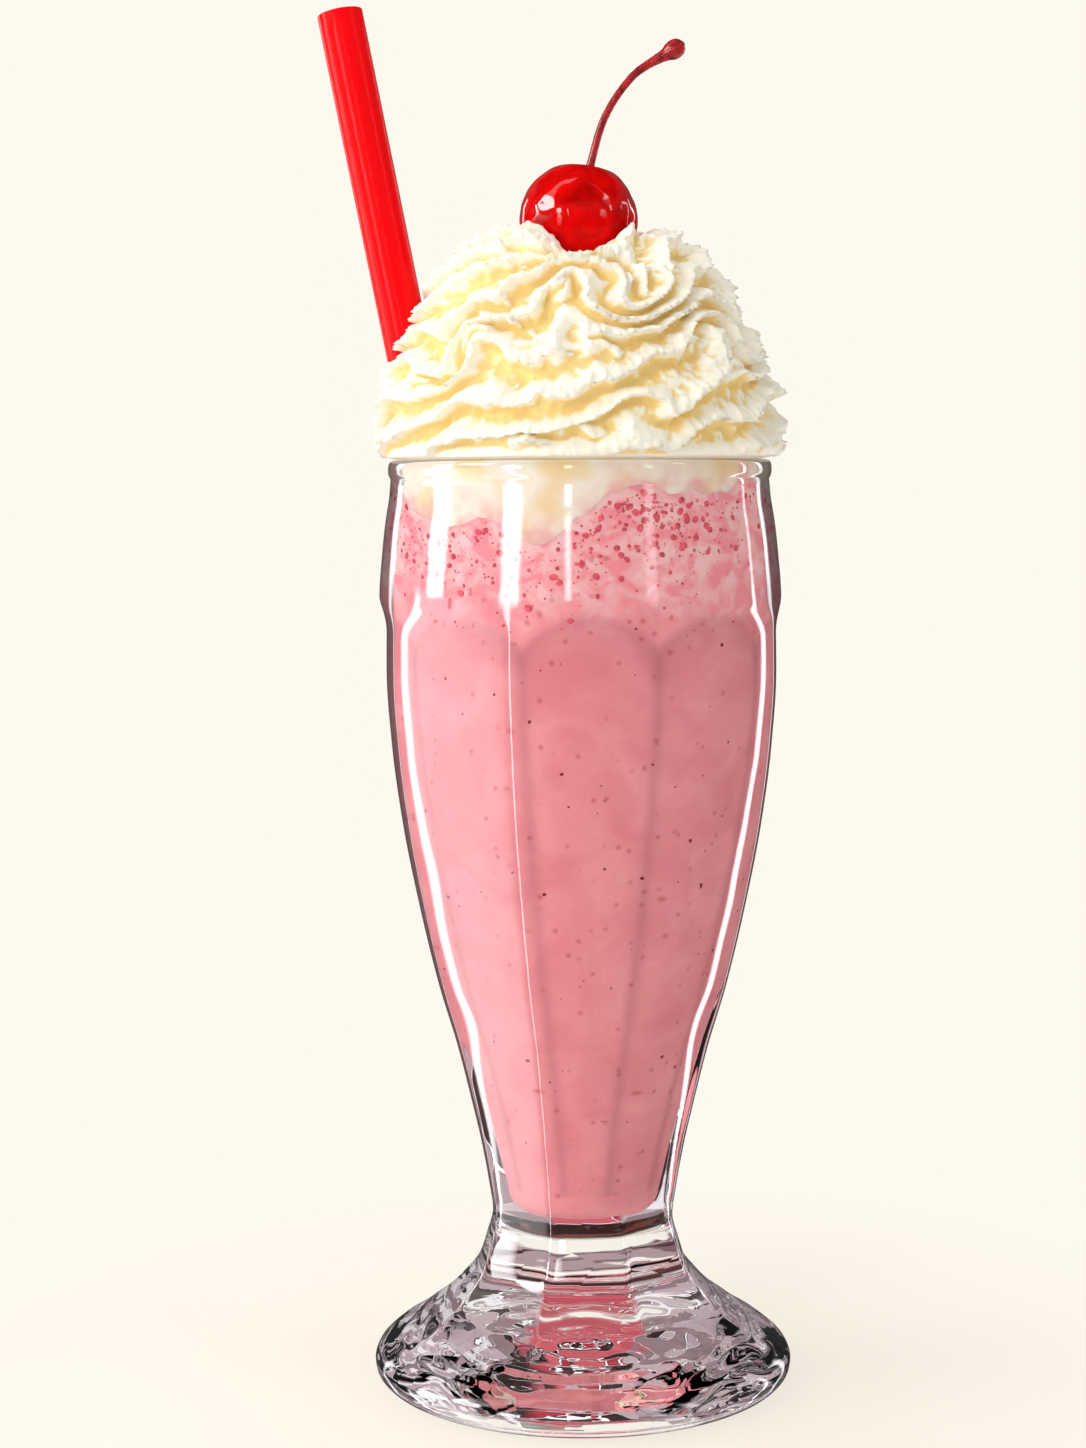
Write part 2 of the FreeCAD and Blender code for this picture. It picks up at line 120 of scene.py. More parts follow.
class DrinkSettings(bpy.types.PropertyGroup):
    overlap: length("Overlap", "How far the drink reaches into the wall", 0.15 * MM)
    level: length("Level", "Mean height of its boundary with the cream", 180.0 * MM)
    pink: colour("Pink", "Of the milkshake", (0.875, 0.258, 0.32))
    pale: colour("Pale pink", "Of its lighter clouds and froth", (0.98, 0.56, 0.59))
    red: colour("Red", "Of fruit specks and bubbles", (0.42, 0.015, 0.03))
    specks: IntProperty(name="Specks", description="Fruit specks spread through the drink", default=150)
    bubbles: IntProperty(name="Bubbles", description="Bubbles in the froth under the cream", default=850)


class CreamSettings(bpy.types.PropertyGroup):
    rope_spacing: length("Rope spacing", "Between ridges, up the side", 7.6 * MM)
    rope_starts: IntProperty(name="Rope starts", description="Ridges that begin at the lip", default=8)
    fold_depth: length("Fold depth", "From ridge to hollow", 4.0 * MM)
    tooth_pitch: length("Tooth pitch", "Between the teeth along a ridge", 1.55 * MM)
    tooth_depth: length("Tooth depth", "Of those teeth", 0.85 * MM)
    light: colour("Light", "Of the ridges", (0.975, 0.935, 0.84))
    # painted shade: the warm yellow that the hollows of the folds are painted with
    deep: colour("Deep", "Of the hollows", (0.91, 0.70, 0.30))


class CherrySettings(bpy.types.PropertyGroup):
    radius: length("Radius", "At the cherry's widest", 11.9 * MM)
    height: length("Height", "From its underside to its shoulder", 22.6 * MM)
    dimple: length("Dimple", "Depth where the stem goes in", 1.7 * MM)
    centre_height: length("Centre height", "Above the glass's underside", 238.0 * MM)
    tilt: FloatProperty(name="Tilt", description="Of its stem end, towards +X", default=math.radians(8),
                        subtype="ANGLE")
    stem_radius: length("Stem radius", "Half way along", 0.78 * MM)
    red: colour("Red", "Of the fruit", (0.62, 0.0015, 0.0015))
    stem: colour("Stem", "Of the stem", (0.30, 0.012, 0.016))


class StrawSettings(bpy.types.PropertyGroup):
    radius: length("Radius", "Outside", 4.65 * MM)
    wall: length("Wall", "Thickness of the wall", 0.35 * MM)
    red: colour("Red", "Of the plastic", (0.86, 0.002, 0.005))


class StudioSettings(bpy.types.PropertyGroup):
    distance: length("Camera distance", "From the glass's own axis", 550.7 * MM)
    eye_height: length("Camera height", "Above the floor", 186.4 * MM)
    lens: FloatProperty(name="Lens", description="Focal length in mm", default=67.13)
    pitch: FloatProperty(name="Pitch", description="Down from level", default=math.radians(5.206),
                         subtype="ANGLE")
    yaw: FloatProperty(name="Yaw", description="To the left of the glass", default=math.radians(0.80),
                       subtype="ANGLE")
    roll: FloatProperty(name="Roll", description="Clockwise", default=math.radians(0.28), subtype="ANGLE")
    paper: colour("Paper", "Of the floor and the backdrop", (0.991, 0.948, 0.863))


# ---- shapes -------------------------------------------------------------------------------------------


def curve_through(stations):
    """A smooth function through (place, value) stations that never overshoots between them."""
    xs = [s[0] for s in stations]
    ys = [s[1] for s in stations]
    chords = [(ys[i + 1] - ys[i]) / (xs[i + 1] - xs[i]) for i in range(len(xs) - 1)]
    slopes = [chords[0]]
    for before, after in zip(chords, chords[1:]):
        slopes.append(0.0 if before * after <= 0 else 2 * before * after / (before + after))
    slopes.append(chords[-1])

    def at(x):
        x = min(max(x, xs[0]), xs[-1])
        i = 0
        while i < len(xs) - 2 and xs[i + 1] <= x:
            i += 1
        step = xs[i + 1] - xs[i]
        t = (x - xs[i]) / step
        return (
            ys[i] * (1 + 2 * t) * (1 - t) ** 2
            + ys[i + 1] * t * t * (3 - 2 * t)
            + slopes[i] * step * t * (1 - t) ** 2
            - slopes[i + 1] * step * t * t * (1 - t)
        )

    return at


def span(curve, low, high, start, end):
    """A curve of shares laid out from (low, start) to (high, end)."""
    return [(low + (high - low) * rise, start + (end - start) * run) for rise, run in curve]


def spread(low, high, steps):
    return [low + (high - low) * (i + 1) / steps for i in range(steps)]


def turn_of(co):
    return math.atan2(co.x, -co.y)


def on_ring(radius, turn, height):
    return Vector((radius * math.sin(turn), -radius * math.cos(turn), height))


def bump_at(x, centre, width):
    """1 at the centre, falling off to 0 on both sides."""
    return math.exp(-(((x - centre) / width) ** 2))


def wrapped(turn, centre):
    """The shortest way from centre to turn, signed."""
    return (turn - centre + math.pi) % TAU - math.pi


class GlassShape:
    """The glass's outside and inside, worked out from its settings."""

    def __init__(self, sizes):
        self.sizes = sizes
        self.shoulder = sizes.height - sizes.band_height
        self.lip_start = sizes.height - sizes.lip_height
        self.outline = self.round_outline()
        self.inside = self.inner_wall()

    def round_outline(self):
        g = self.sizes
        neck_join = g.neck_radius + (g.foot_radius - g.neck_radius) * (1 - FOOT_FLARE[-1][1])
        edge = span(FOOT_EDGE, 0.0, g.foot_edge_height, g.rest_radius, g.foot_radius)
        flare = span(FOOT_FLARE[:-1], g.foot_edge_height, g.foot_top_height, g.foot_radius, g.neck_radius)
        bowl = span(BOWL_RISE, g.neck_height, self.shoulder, g.neck_radius, g.shoulder_radius)
        band = span(BAND_RISE, self.shoulder, self.lip_start, g.shoulder_radius, g.rim_radius)
        return curve_through(edge + flare[1:] + [(g.foot_top_height, neck_join)] + bowl + band[1:])

    def panel_middle(self, ridge):
        bow = self.sizes.panel_bow
        half = math.cos(math.pi / self.sizes.panel_count)
        return math.sqrt(ridge**2 + 2 * ridge * bow * half + bow**2) - bow

    def depth_share(self, height):
        """1 where the panels have their full depth, more on the petals, under 0 where there are none."""
        g = self.sizes
        if height > self.shoulder - g.arch_height:
            t = (self.shoulder - height) / g.arch_height
            return 1 - (1 - t) ** 2 if t > 0 else 2 * t
        t = (height - g.petal_end_height) / g.petal_rise
        if t < 0:
            return 2 * g.petal_depth * t
        if t < 1:
            return g.petal_depth * (1 - (1 - t) ** 2)
        past = height - g.petal_end_height - g.petal_rise
        fade = min(1.0, past / (g.neck_height - g.petal_end_height - g.petal_rise))
        return g.petal_depth + (1 - g.petal_depth) * fade

    def radius(self, turn, full, middle):
        """Outside radius at a turn, where the ridges have radius full and the panels' middles middle."""
        g = self.sizes
        pitch = TAU / g.panel_count
        off = (turn - g.panel_turn + pitch / 2) % pitch - pitch / 2
        values = [full]
        for k in (-1, 0, 1):
            across = g.panel_bow * math.cos(off + k * pitch)
            values.append(math.sqrt(across**2 + middle**2 + 2 * middle * g.panel_bow) - across)
        least = min(values)
        near = sum(math.exp((least - v) / g.ridge_softness) for v in values)
        return least - g.ridge_softness * math.log(near)

    def inner_wall(self):
        g = self.sizes
        wall = curve_through([(0.0, g.neck_wall), (0.5, g.bowl_wall), (1.0, g.shoulder_wall)])
        first = g.floor_height + g.floor_corner
        stations = []
        for share in (0.0, 0.14, 0.28, 0.42, 0.56, 0.7, 0.85, 1.0):
            height = first + (self.shoulder - first) * share
            stations.append((height, self.panel_middle(self.outline(height)) - wall(share)))
        stations.append((self.lip_start, g.rim_radius - g.rim_wall))
        return curve_through(stations)

    def floor_outline(self, grow=0.0, steps=14):
        """The rounded floor, from the middle out to the wall, moved outwards by grow."""
        g = self.sizes
        wide = self.inside(g.floor_height + g.floor_corner)
        points = []
        for i in range(steps + 1):
            a = math.pi / 2 * i / steps
            points.append(((wide + grow) * math.sin(a) ** 0.8,
                           g.floor_height - grow + (g.floor_corner + grow) * (1 - math.cos(a)) ** 1.25))
        return points


def lathe(bm, outline, steps):
    """Turns an outline of (radius, height) points once round Z; returns (vertex, its point's number)."""
    known = set(bm.verts)
    row = bm.verts.layers.int.get("row") or bm.verts.layers.int.new("row")
    verts = [bm.verts.new((radius, 0.0, height)) for radius, height in outline]
    for i, v in enumerate(verts):
        v[row] = i
    edges = [bm.edges.new(pair) for pair in zip(verts, verts[1:])]
    bmesh.ops.spin(bm, geom=verts + edges, cent=(0, 0, 0), axis=(0, 0, 1), dvec=(0, 0, 0),
                   angle=TAU, steps=steps, use_merge=True, use_duplicate=False)
    return [(v, v[row]) for v in bm.verts if v not in known]


def close_poles(bm, size=1e-7):
    bmesh.ops.remove_doubles(bm, verts=bm.verts, dist=size)
    bmesh.ops.recalc_face_normals(bm, faces=bm.faces)


def finish_piece(bm, name, material, slot, *nodes):
    """Makes the bmesh a smooth-shaded piece with its material that stands for the CAD nodes."""
    mesh = bpy.data.meshes.new(name)
    row = bm.verts.layers.int.get("row")
    if row:
        bm.verts.layers.int.remove(row)
    bm.to_mesh(mesh)
    bm.free()
    mesh.shade_smooth()
    mesh.materials.append(material)
    piece = bpy.data.objects.new(name, mesh)
    bpy.context.scene.collection.objects.link(piece)
    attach(piece, "root")
    if nodes:
        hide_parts(*nodes)
    return piece


# ---- materials ----------------------------------------------------------------------------------------

BLACK = (0.0, 0.0, 0.0, 1.0)
WHITE = (1.0, 1.0, 1.0, 1.0)


def rgba(value, factor=1.0):
    return (*(min(1.0, c * factor) for c in value), 1.0)


class Nodes:
    """A short way to write a node tree. As an input, a node or a (node, socket) pair is a link."""

    def __init__(self, tree):
        self.tree = tree
        self.output = None

    def add(self, kind, settings=None, **inputs):
        node = self.tree.nodes.new("ShaderNode" + kind)
        for key, value in (settings or {}).items():
            setattr(node, key, value)
        for key, value in inputs.items():
            self.put(node, key.replace("_", " "), value)
        return node

    def put(self, node, key, value):
        """Links or sets an input, which is named, or numbered as in n0."""
        socket = node.inputs[int(key[1:])] if key[0] == "n" and key[1:].isdigit() else node.inputs[key]
        if isinstance(value, bpy.types.Node):
            value = (value, 0)
        if isinstance(value, tuple) and isinstance(value[0], bpy.types.Node):
            self.tree.links.new(value[0].outputs[value[1]], socket)
        else:
            socket.default_value = value

    def math(self, operation, a, b=0.0, clamp=False):
        return self.add("Math", {"operation": operation, "use_clamp": clamp}, n0=a, n1=b)

    def mix(self, factor, a, b):
        settings = {"data_type": "RGBA", "clamp_factor": True}
        return (self.add("Mix", settings, n0=factor, n6=a, n7=b), 2)

    def ramp(self, factor, *stops):
        """Grey ramp through (place, value) stops."""
        node = self.add("ValToRGB", n0=factor)
        band = node.color_ramp
        while len(band.elements) < len(stops):
            band.elements.new(0.5)
        for element, (place, value) in zip(band.elements, stops):
            element.position = place
            element.color = (value, value, value, 1)
        return node

    def place(self, stretch=(1, 1, 1)):
        """Object coordinates, stretched."""
        coords = self.add("TexCoord")
        return self.add("Mapping", Vector=(coords, "Object"), Scale=stretch)

    def height(self):
        coords = self.add("TexCoord")
        return (self.add("SeparateXYZ", Vector=(coords, "Object")), "Z")

    def rise(self, value, start, end, **ends):
        """A straight change from 0 at start to 1 at end, or between other ends."""
        return (self.add("MapRange", Value=value, From_Min=start, From_Max=end, **ends), "Result")

    def step(self, value, start, end, **ends):
        """The same, easing in and out."""
        node, socket = self.rise(value, start, end, **ends)
        node.interpolation_type = "SMOOTHSTEP"
        return (node, socket)

    def bump(self, strength, distance, height):
        return self.add("Bump", Strength=strength, Distance=distance, Height=height)

    def drift(self, scale, sharpness, low, high, stretch=(1, 1, 1)):
        return self.add("Group", {"node_tree": drift_group()}, Vector=self.place(stretch),
                        Scale=scale, Sharpness=sharpness, Low=low, High=high)

    def grain(self, scale, stretch=(1, 1, 1), **pits):
        return self.add("Group", {"node_tree": grain_group()}, Vector=self.place(stretch),
                        Scale=scale, **pits)


def group_tree(name, inputs, outputs):
    """An empty node group with named sockets, its input and its output node."""
    tree = bpy.data.node_groups.new(name, "ShaderNodeTree")
    for label, kind, default in inputs:
        socket = tree.interface.new_socket(name=label, in_out="INPUT", socket_type=kind)
        if default is not None:
            socket.default_value = default
    for label, kind in outputs:
        tree.interface.new_socket(name=label, in_out="OUTPUT", socket_type=kind)
    return Nodes(tree), tree.nodes.new("NodeGroupInput"), tree.nodes.new("NodeGroupOutput")


def drift_group():
    """Colour that drifts slowly between two tones, and the mask it drifts by."""
    if "Colour Drift" in bpy.data.node_groups:
        return bpy.data.node_groups["Colour Drift"]
    n, source, sink = group_tree(
        "Colour Drift",
        [("Vector", "NodeSocketVector", None), ("Scale", "NodeSocketFloat", 100.0),
         ("Sharpness", "NodeSocketFloat", 3.0), ("Low", "NodeSocketColor", (0.2, 0.2, 0.2, 1)),
         ("High", "NodeSocketColor", (0.8, 0.8, 0.8, 1))],
        [("Color", "NodeSocketColor"), ("Mask", "NodeSocketFloat")],
    )
    cloud = n.add("TexNoise", Vector=(source, "Vector"), Scale=(source, "Scale"), Detail=4.0,
                  Roughness=0.55, Distortion=0.6)
    centred = n.math("SUBTRACT", (cloud, "Fac"), 0.5)
    mask = n.math("ADD", n.math("MULTIPLY", centred, (source, "Sharpness")), 0.5, clamp=True)
    n.put(sink, "Color", n.mix(mask, (source, "Low"), (source, "High")))
    n.put(sink, "Mask", mask)
    return n.tree


def grain_group():
    """Fine uneven surface: a height for a Bump node, with small pits where it is asked for."""
    if "Fine Grain" in bpy.data.node_groups:
        return bpy.data.node_groups["Fine Grain"]
    n, source, sink = group_tree(
        "Fine Grain",
        [("Vector", "NodeSocketVector", None), ("Scale", "NodeSocketFloat", 800.0),
         ("Pits", "NodeSocketFloat", 0.0), ("Pit Scale", "NodeSocketFloat", 900.0)],
        [("Height", "NodeSocketFloat"), ("Pit Mask", "NodeSocketFloat")],
    )
    fine = n.add("TexNoise", Vector=(source, "Vector"), Scale=(source, "Scale"), Detail=5.0,
                 Roughness=0.6)
    cells = n.add("TexVoronoi", Vector=(source, "Vector"), Scale=(source, "Pit Scale"),
                  Randomness=1.0)
    pit = n.math("SUBTRACT", 1.0, n.math("MULTIPLY", (cells, "Distance"), 3.2), clamp=True)
    rare = n.math("GREATER_THAN", n.add("SeparateColor", Color=(cells, "Color")), 0.72)
    mask = n.math("MULTIPLY", n.math("MULTIPLY", pit, rare), (source, "Pits"))
    n.put(sink, "Height", n.math("SUBTRACT", (fine, "Fac"), mask))
    n.put(sink, "Pit Mask", mask)
    return n.tree


def new_material(name, **inputs):
    """A material with one Principled shader, its nodes and that shader."""
    material = bpy.data.materials.new(name)
    material.use_nodes = True
    material.node_tree.nodes.clear()
    n = Nodes(material.node_tree)
    shader = n.add("BsdfPrincipled", **inputs)
    n.output = n.add("OutputMaterial", Surface=(shader, "BSDF"))
    return material, n, shader


def glass_material(settings):
    """Clear pressed glass with a faint ripple, which lets light through to what is in it; painted shade
    turns it nearly black where it is seen at a slant, less so on the foot.
    """
    material, n, shader = new_material("Pressed glass", Transmission_Weight=1.0, IOR=1.5)
    slant = n.add("LayerWeight", Blend=0.5)
    # painted shade: where the glass is seen at a slant, its colour goes nearly black
    edge = n.ramp((slant, "Facing"), (0.0, 0.0), (0.61, 0.0), (0.65, 1.0), (0.69, 0.91), (0.92, 0.92),
                  (0.98, 1.0))
    foot = n.step(n.height(), 0.040, 0.030)
    flow = n.add("TexNoise", Vector=n.place(), Scale=45.0, Detail=0.5)
    facets = n.add("TexVoronoi", Vector=n.place((1, 1, 1.4)), Scale=75.0, Randomness=0.9)
    relief = n.math("ADD", n.math("MULTIPLY", (facets, "Distance"), foot), (flow, "Fac"))
    smudge = n.drift(40.0, 2.0, BLACK, WHITE)
    n.put(shader, "Roughness", n.math("MULTIPLY", (smudge, "Mask"), 0.012))
    # painted shade at the slanting edges, mostly left off the foot
    dark = n.math("MULTIPLY", edge, n.math("SUBTRACT", 1.0, n.math("MULTIPLY", foot, 0.92)))
    n.put(shader, "Base Color", n.mix(dark, rgba(settings.tint), (0.004, 0.012, 0.012, 1)))
    n.put(shader, "Normal", n.bump(0.5, 0.0007, relief))
    rays = n.add("LightPath")
    passing = n.math("MAXIMUM", (rays, "Is Shadow Ray"), (rays, "Is Diffuse Ray"))
    lost = n.ramp((slant, "Facing"), (0.0, 0.98), (0.55, 0.9), (0.8, 0.62), (1.0, 0.1))
    clear = n.add("BsdfTransparent", Color=lost)
    n.put(n.output, "Surface", n.add("MixShader", n0=passing, n1=(shader, "BSDF"), n2=clear))
    return material


def drink_material(settings):
    """Thick pink milkshake: soft clouds of pink, pale froth towards the top, small pits, and painted shade
    behind the glass's arches and ridges.
    """
    material, n, shader = new_material(
        "Strawberry milkshake", Roughness=0.45, Subsurface_Weight=0.25, Subsurface_Radius=(1.0, 0.45, 0.4),
        Subsurface_Scale=0.003,
    )
    pink, pale = settings.pink, settings.pale
    clouds = n.drift(90.0, 3.0, rgba(pink, 0.91), rgba([c + (p - c) * 0.24 for c, p in zip(pink, pale)]))
    froth = n.drift(210.0, 5.0, rgba([min(0.97, c * 1.14) for c in pink]), rgba(pale), (1, 1, 1.3))
    wander = n.math("MULTIPLY", (clouds, "Mask"), 0.006)
    top = n.step(n.math("ADD", n.height(), wander), 0.158, 0.172)
    body = n.mix(top, (clouds, "Color"), (froth, "Color"))
    grain = n.grain(500.0, Pits=1.0, Pit_Scale=420.0)
    # painted shade: the shade attribute mixes in a darker copy of the pink behind the glass's arches and
    # ridges
    shade = n.add("Attribute", {"attribute_name": "shade"})
    body = n.mix(n.math("MULTIPLY", (shade, "Fac"), 0.8), body, rgba(pink, 0.55))
    pits = n.math("MULTIPLY", (grain, "Pit Mask"), 0.6)
    n.put(shader, "Base Color", n.mix(pits, body, rgba(settings.red)))
    n.put(shader, "Normal", n.bump(0.25, 0.0003, (grain, "Height")))
    return material


def speck_material(name, red):
    """Wet bits of fruit and the dark insides of bubbles."""
    material, n, shader = new_material(name, Roughness=0.3)
    n.put(shader, "Base Color", (n.drift(900.0, 3.0, rgba(red, 0.55), rgba(red, 1.5)), "Color"))
    return material


def cream_material(settings):
    """Whipped cream: white on the ridges, with warm yellow painted shade down in the folds, and tiny air
    pits.
    """
    material, n, shader = new_material(
        "Whipped cream", Roughness=0.42, Subsurface_Weight=0.4, Subsurface_Radius=(1.0, 0.7, 0.3),
        Subsurface_Scale=0.0009,
    )
    fold = n.add("Attribute", {"attribute_name": "fold"})
    tint = n.add("Attribute", {"attribute_name": "pink"})
    drift = n.drift(130.0, 2.5, BLACK, WHITE)
    uneven = n.math("MULTIPLY", n.math("SUBTRACT", (drift, "Mask"), 0.5), 0.3)
    # painted shade: the lower the fold value, the more of the warm yellow hollow colour
    depth = n.ramp(n.math("ADD", (fold, "Fac"), uneven), (0.10, 1.0), (0.34, 0.5), (0.52, 0.0))
    ivory_with_painted_shade = n.mix(depth, rgba(settings.light), rgba(settings.deep))
    n.put(shader, "Base Color", n.mix((tint, "Fac"), ivory_with_painted_shade, (0.86, 0.42, 0.42, 1)))
    grain = n.grain(700.0, Pits=0.8, Pit_Scale=600.0)
    rough = n.rise((fold, "Fac"), 0.25, 0.8, To_Min=0.1, To_Max=0.45)
    n.put(shader, "Normal", n.bump(rough, 0.0004, (grain, "Height")))
    return material


def cherry_material(settings):
    """Candied cherry: deep red, a little wrinkled, and wettest on its upper half."""
    material, n, shader = new_material("Cherry skin", Roughness=0.06)
    skin = n.drift(150.0, 2.4, rgba(settings.red, 0.55), rgba(settings.red, 1.35))
    n.put(shader, "Base Color", (skin, "Color"))
    middle, radius = settings.centre_height, settings.radius
    syrup = n.step(n.height(), middle - 0.1 * radius, middle + 0.15 * radius, To_Min=0.06, To_Max=0.5)
    n.put(shader, "Specular IOR Level", syrup)
    wrinkle = n.add("TexVoronoi", {"feature": "SMOOTH_F1"}, Vector=n.place(), Scale=330.0,
                    Smoothness=0.4)
    n.put(shader, "Normal", n.bump(0.35, 0.0005, (wrinkle, "Distance")))
    return material


def stem_material(settings):
    """Candied stem: dark red with darker flecks along it."""
    material, n, shader = new_material(
        "Cherry stem", Roughness=0.25, Specular_IOR_Level=0.3, Coat_Weight=0.15, Coat_Roughness=0.06)
    bark = n.drift(260.0, 3.0, rgba(settings.stem, 0.6), rgba(settings.stem, 1.7), (3, 3, 1))
    n.put(shader, "Base Color", (bark, "Color"))
    n.put(shader, "Normal", n.bump(0.4, 0.0003, (n.grain(420.0, (2, 2, 1)), "Height")))
    return material


def straw_material(settings):
    """Glossy red plastic with faint draw lines."""
    material, n, shader = new_material("Red plastic straw", Roughness=0.24, Specular_IOR_Level=0.1)
    tone = n.drift(160.0, 1.5, rgba(settings.red, 0.95), rgba(settings.red, 1.04), (1, 1, 0.12))
    n.put(shader, "Base Color", (tone, "Color"))
    n.put(shader, "Normal", n.bump(0.05, 0.0002, (n.grain(400.0, (1, 1, 0.05)), "Height")))
    return material


# ---- pieces -------------------------------------------------------------------------------------------


class MILKSHAKE_OT_glass(bpy.types.Operator):
    """Model the footed glass with its panels, petals and rolled lip"""

    bl_idname = "milkshake.glass"
    bl_label = "Make Glass"

    STEPS = 192
    RIDGE_CROWDING = 0.6  # how much closer together the columns stand at the ridges
    UNDER_ROWS = 30
    # what is pressed into the underside
    DOME = 1.5 * MM
    RIB = 0.35 * MM
    RING = 0.16 * MM
    RINGS = 5

    def hollow(self, g, radius, turn):
        """Height of the underside: a shallow dome with a star of ribs and some rings pressed into it."""
        share = radius / g.rest_radius
        dome = self.DOME * (1 - share**2) ** 2
        ribs = self.RIB * (0.5 + 0.5 * math.cos(g.panel_count * turn)) * share * (1 - share**8)
        rings = self.RING * (0.5 - 0.5 * math.cos(TAU * share * self.RINGS))
        return dome + ribs + rings

    def outer_outline(self, g, shape):
        """The underside's radius and the outside, with most rows where the shape turns most."""
        heights = [0.0]
        for high, steps in (
            (g.foot_edge_height, 14), (g.foot_top_height, 44), (g.neck_height + 8 * MM, 14),
            (shape.shoulder - 2 * g.arch_height, 56), (shape.shoulder + 2 * MM, 34), (shape.lip_start, 16),
        ):
            heights += spread(heights[-1], high, steps)
        under = [(g.rest_radius * i / self.UNDER_ROWS, 0.0) for i in range(self.UNDER_ROWS)]
        return under + [(shape.outline(z), z) for z in heights]

    def lip_outline(self, g, shape):
        """The rolled lip in section: a bead outside, rounded over to the inner edge."""
        inner = g.rim_radius - g.rim_wall
        bead = [(0.0, 0.0), (0.12, 0.5), (0.3, 0.95), (0.55, 1.0), (0.8, 0.7), (0.93, 0.0)]
        bead = [(t, g.rim_radius + g.lip_overhang * share) for t, share in bead]
        bead = curve_through(bead + [(1.0, g.rim_radius - 0.8 * MM)])
        points = [(bead(t), shape.lip_start + g.lip_height * t) for t in spread(0.0, 1.0, 14)]
        for i in range(7):
            a = math.pi / 2 * i / 6
            points.append((inner + g.lip_rounding * (1 - math.sin(a)),
                           g.height - g.lip_rounding * (1 - math.cos(a))))
        return points

    def execute(self, context):
        g = context.scene.milkshake_glass
        shape = GlassShape(g)
        bm = bmesh.new()
        outline = self.outer_outline(g, shape)
        rings = [(r, r - shape.depth_share(z) * (r - shape.panel_middle(r))) for r, z in outline]
        outer = dict(lathe(bm, outline, self.STEPS))
        lip = self.lip_outline(g, shape)
        first = g.floor_height + g.floor_corner
        wall = [(shape.inside(z), z) for z in reversed([first] + spread(first, shape.lip_start, 70))]
        floor = list(reversed(shape.floor_outline()))
        lathe(bm, [outline[-1]] + lip + wall + floor[1:], self.STEPS)
        crowding = self.RIDGE_CROWDING / g.panel_count
        for v in bm.verts:
            radius = math.hypot(v.co.x, v.co.y)
            if radius < 1e-6:
                if v in outer:
                    v.co.z = self.hollow(g, 0.0, 0.0)
                continue
            turn = turn_of(v.co)
            turn += crowding * math.sin(g.panel_count * (turn - g.panel_turn))
            if v in outer and outer[v] < self.UNDER_ROWS:
                v.co = on_ring(radius, turn, self.hollow(g, radius, turn))
                continue
            if v in outer:
                full, middle = rings[outer[v]]
                radius *= shape.radius(turn, full, middle) / full
            v.co = on_ring(radius, turn, v.co.z)
        close_poles(bm)
        finish_piece(bm, "glass_body", glass_material(g), "clear_glass", "glass")
        return {"FINISHED"}


# (turn in degrees, rise in mm, spread in radians) of the swells in the line under the cream
SWELLS = [(-13, -6.0, 0.24), (-42, -2.5, 0.3), (20, 5.0, 0.3), (38, 3.0, 0.16), (66, 7.0, 0.28),
          (-78, 6.0, 0.24)]


def boundary(turn, level):
    """Height of the uneven line where the cream meets the milkshake, seen through the glass."""
    height = level
    for middle, rise, width in SWELLS:
        height += rise * MM * bump_at(wrapped(turn, math.radians(middle)), 0, width)
    around = Vector((math.sin(turn), math.cos(turn), 0.3))
    for rise, scale in ((2.6, 3.0), (1.1, 9.0), (0.5, 27.0)):
        height += rise * MM * noise.noise(around * scale)
    return height


class MILKSHAKE_OT_drink(bpy.types.Operator):
    """Model the pink milkshake, from the bowl's floor up to the cream"""

    bl_idname = "milkshake.drink"
    bl_label = "Make Milkshake"

    STEPS = 288
    ROWS = 150

    def shade(self, g, shape, turn, height):
        """How much painted shade the drink's colour gets behind the glass's arches and ridges."""
        pitch = TAU / g.panel_count
        off = (turn - g.panel_turn + pitch / 2) % pitch - pitch / 2
        # painted shade: a soft dark band under each arch, thin dark lines behind the ridges, and a darker
        # tone towards each panel's sides
        arch = shape.shoulder - g.arch_height * 1.1 * abs(2 * off / pitch) ** 2.2
        below = (arch - height) / MM
        under = min(1.0, max(0.0, below / 2.0)) * math.exp(-max(0.0, below - 2.0) / 5.0)
        ridge_shade = 0.45 * bump_at((abs(off) - pitch / 2) * shape.inside(height) / MM, 0, 1.3)
        ridge_shade += 0.12 * abs(2 * off / pitch) ** 4
        return 0.5 * under + ridge_shade * min(1.0, max(0.0, below / 4))

    def execute(self, context):
        g = context.scene.milkshake_glass
        drink = context.scene.milkshake_drink
        shape = GlassShape(g)
        floor = shape.floor_outline(drink.overlap)
        first = floor[-1][1]
        bm = bmesh.new()
        shade = bm.verts.layers.float.new("shade")
        reach = shape.inside(drink.level) + drink.overlap
        wall = [(reach, z) for z in spread(first, drink.level, self.ROWS)]
        top = [(reach * share, drink.level) for share in (0.97, 0.5, 0.0)]
        lathe(bm, floor + wall + top, self.STEPS)
        for v in bm.verts:
            radius = math.hypot(v.co.x, v.co.y)
            if v.co.z <= first + 1e-7 or radius < 1e-7:
                continue
            turn = turn_of(v.co)
            share = (v.co.z - first) / (drink.level - first)
            ceiling = min(boundary(turn, drink.level), g.height - 0.9 * MM)
            height = first + (ceiling + 1.2 * MM - first) * share
            if radius > reach * 0.98:
                v.co = on_ring(shape.inside(height) + drink.overlap, turn, height)
                v[shade] = self.shade(g, shape, turn, height)
            else:
                v.co.z = height - 0.8 * MM
        close_poles(bm)
        finish_piece(bm, "milkshake_body", drink_material(drink), "milkshake", "milkshake")
        return {"FINISHED"}


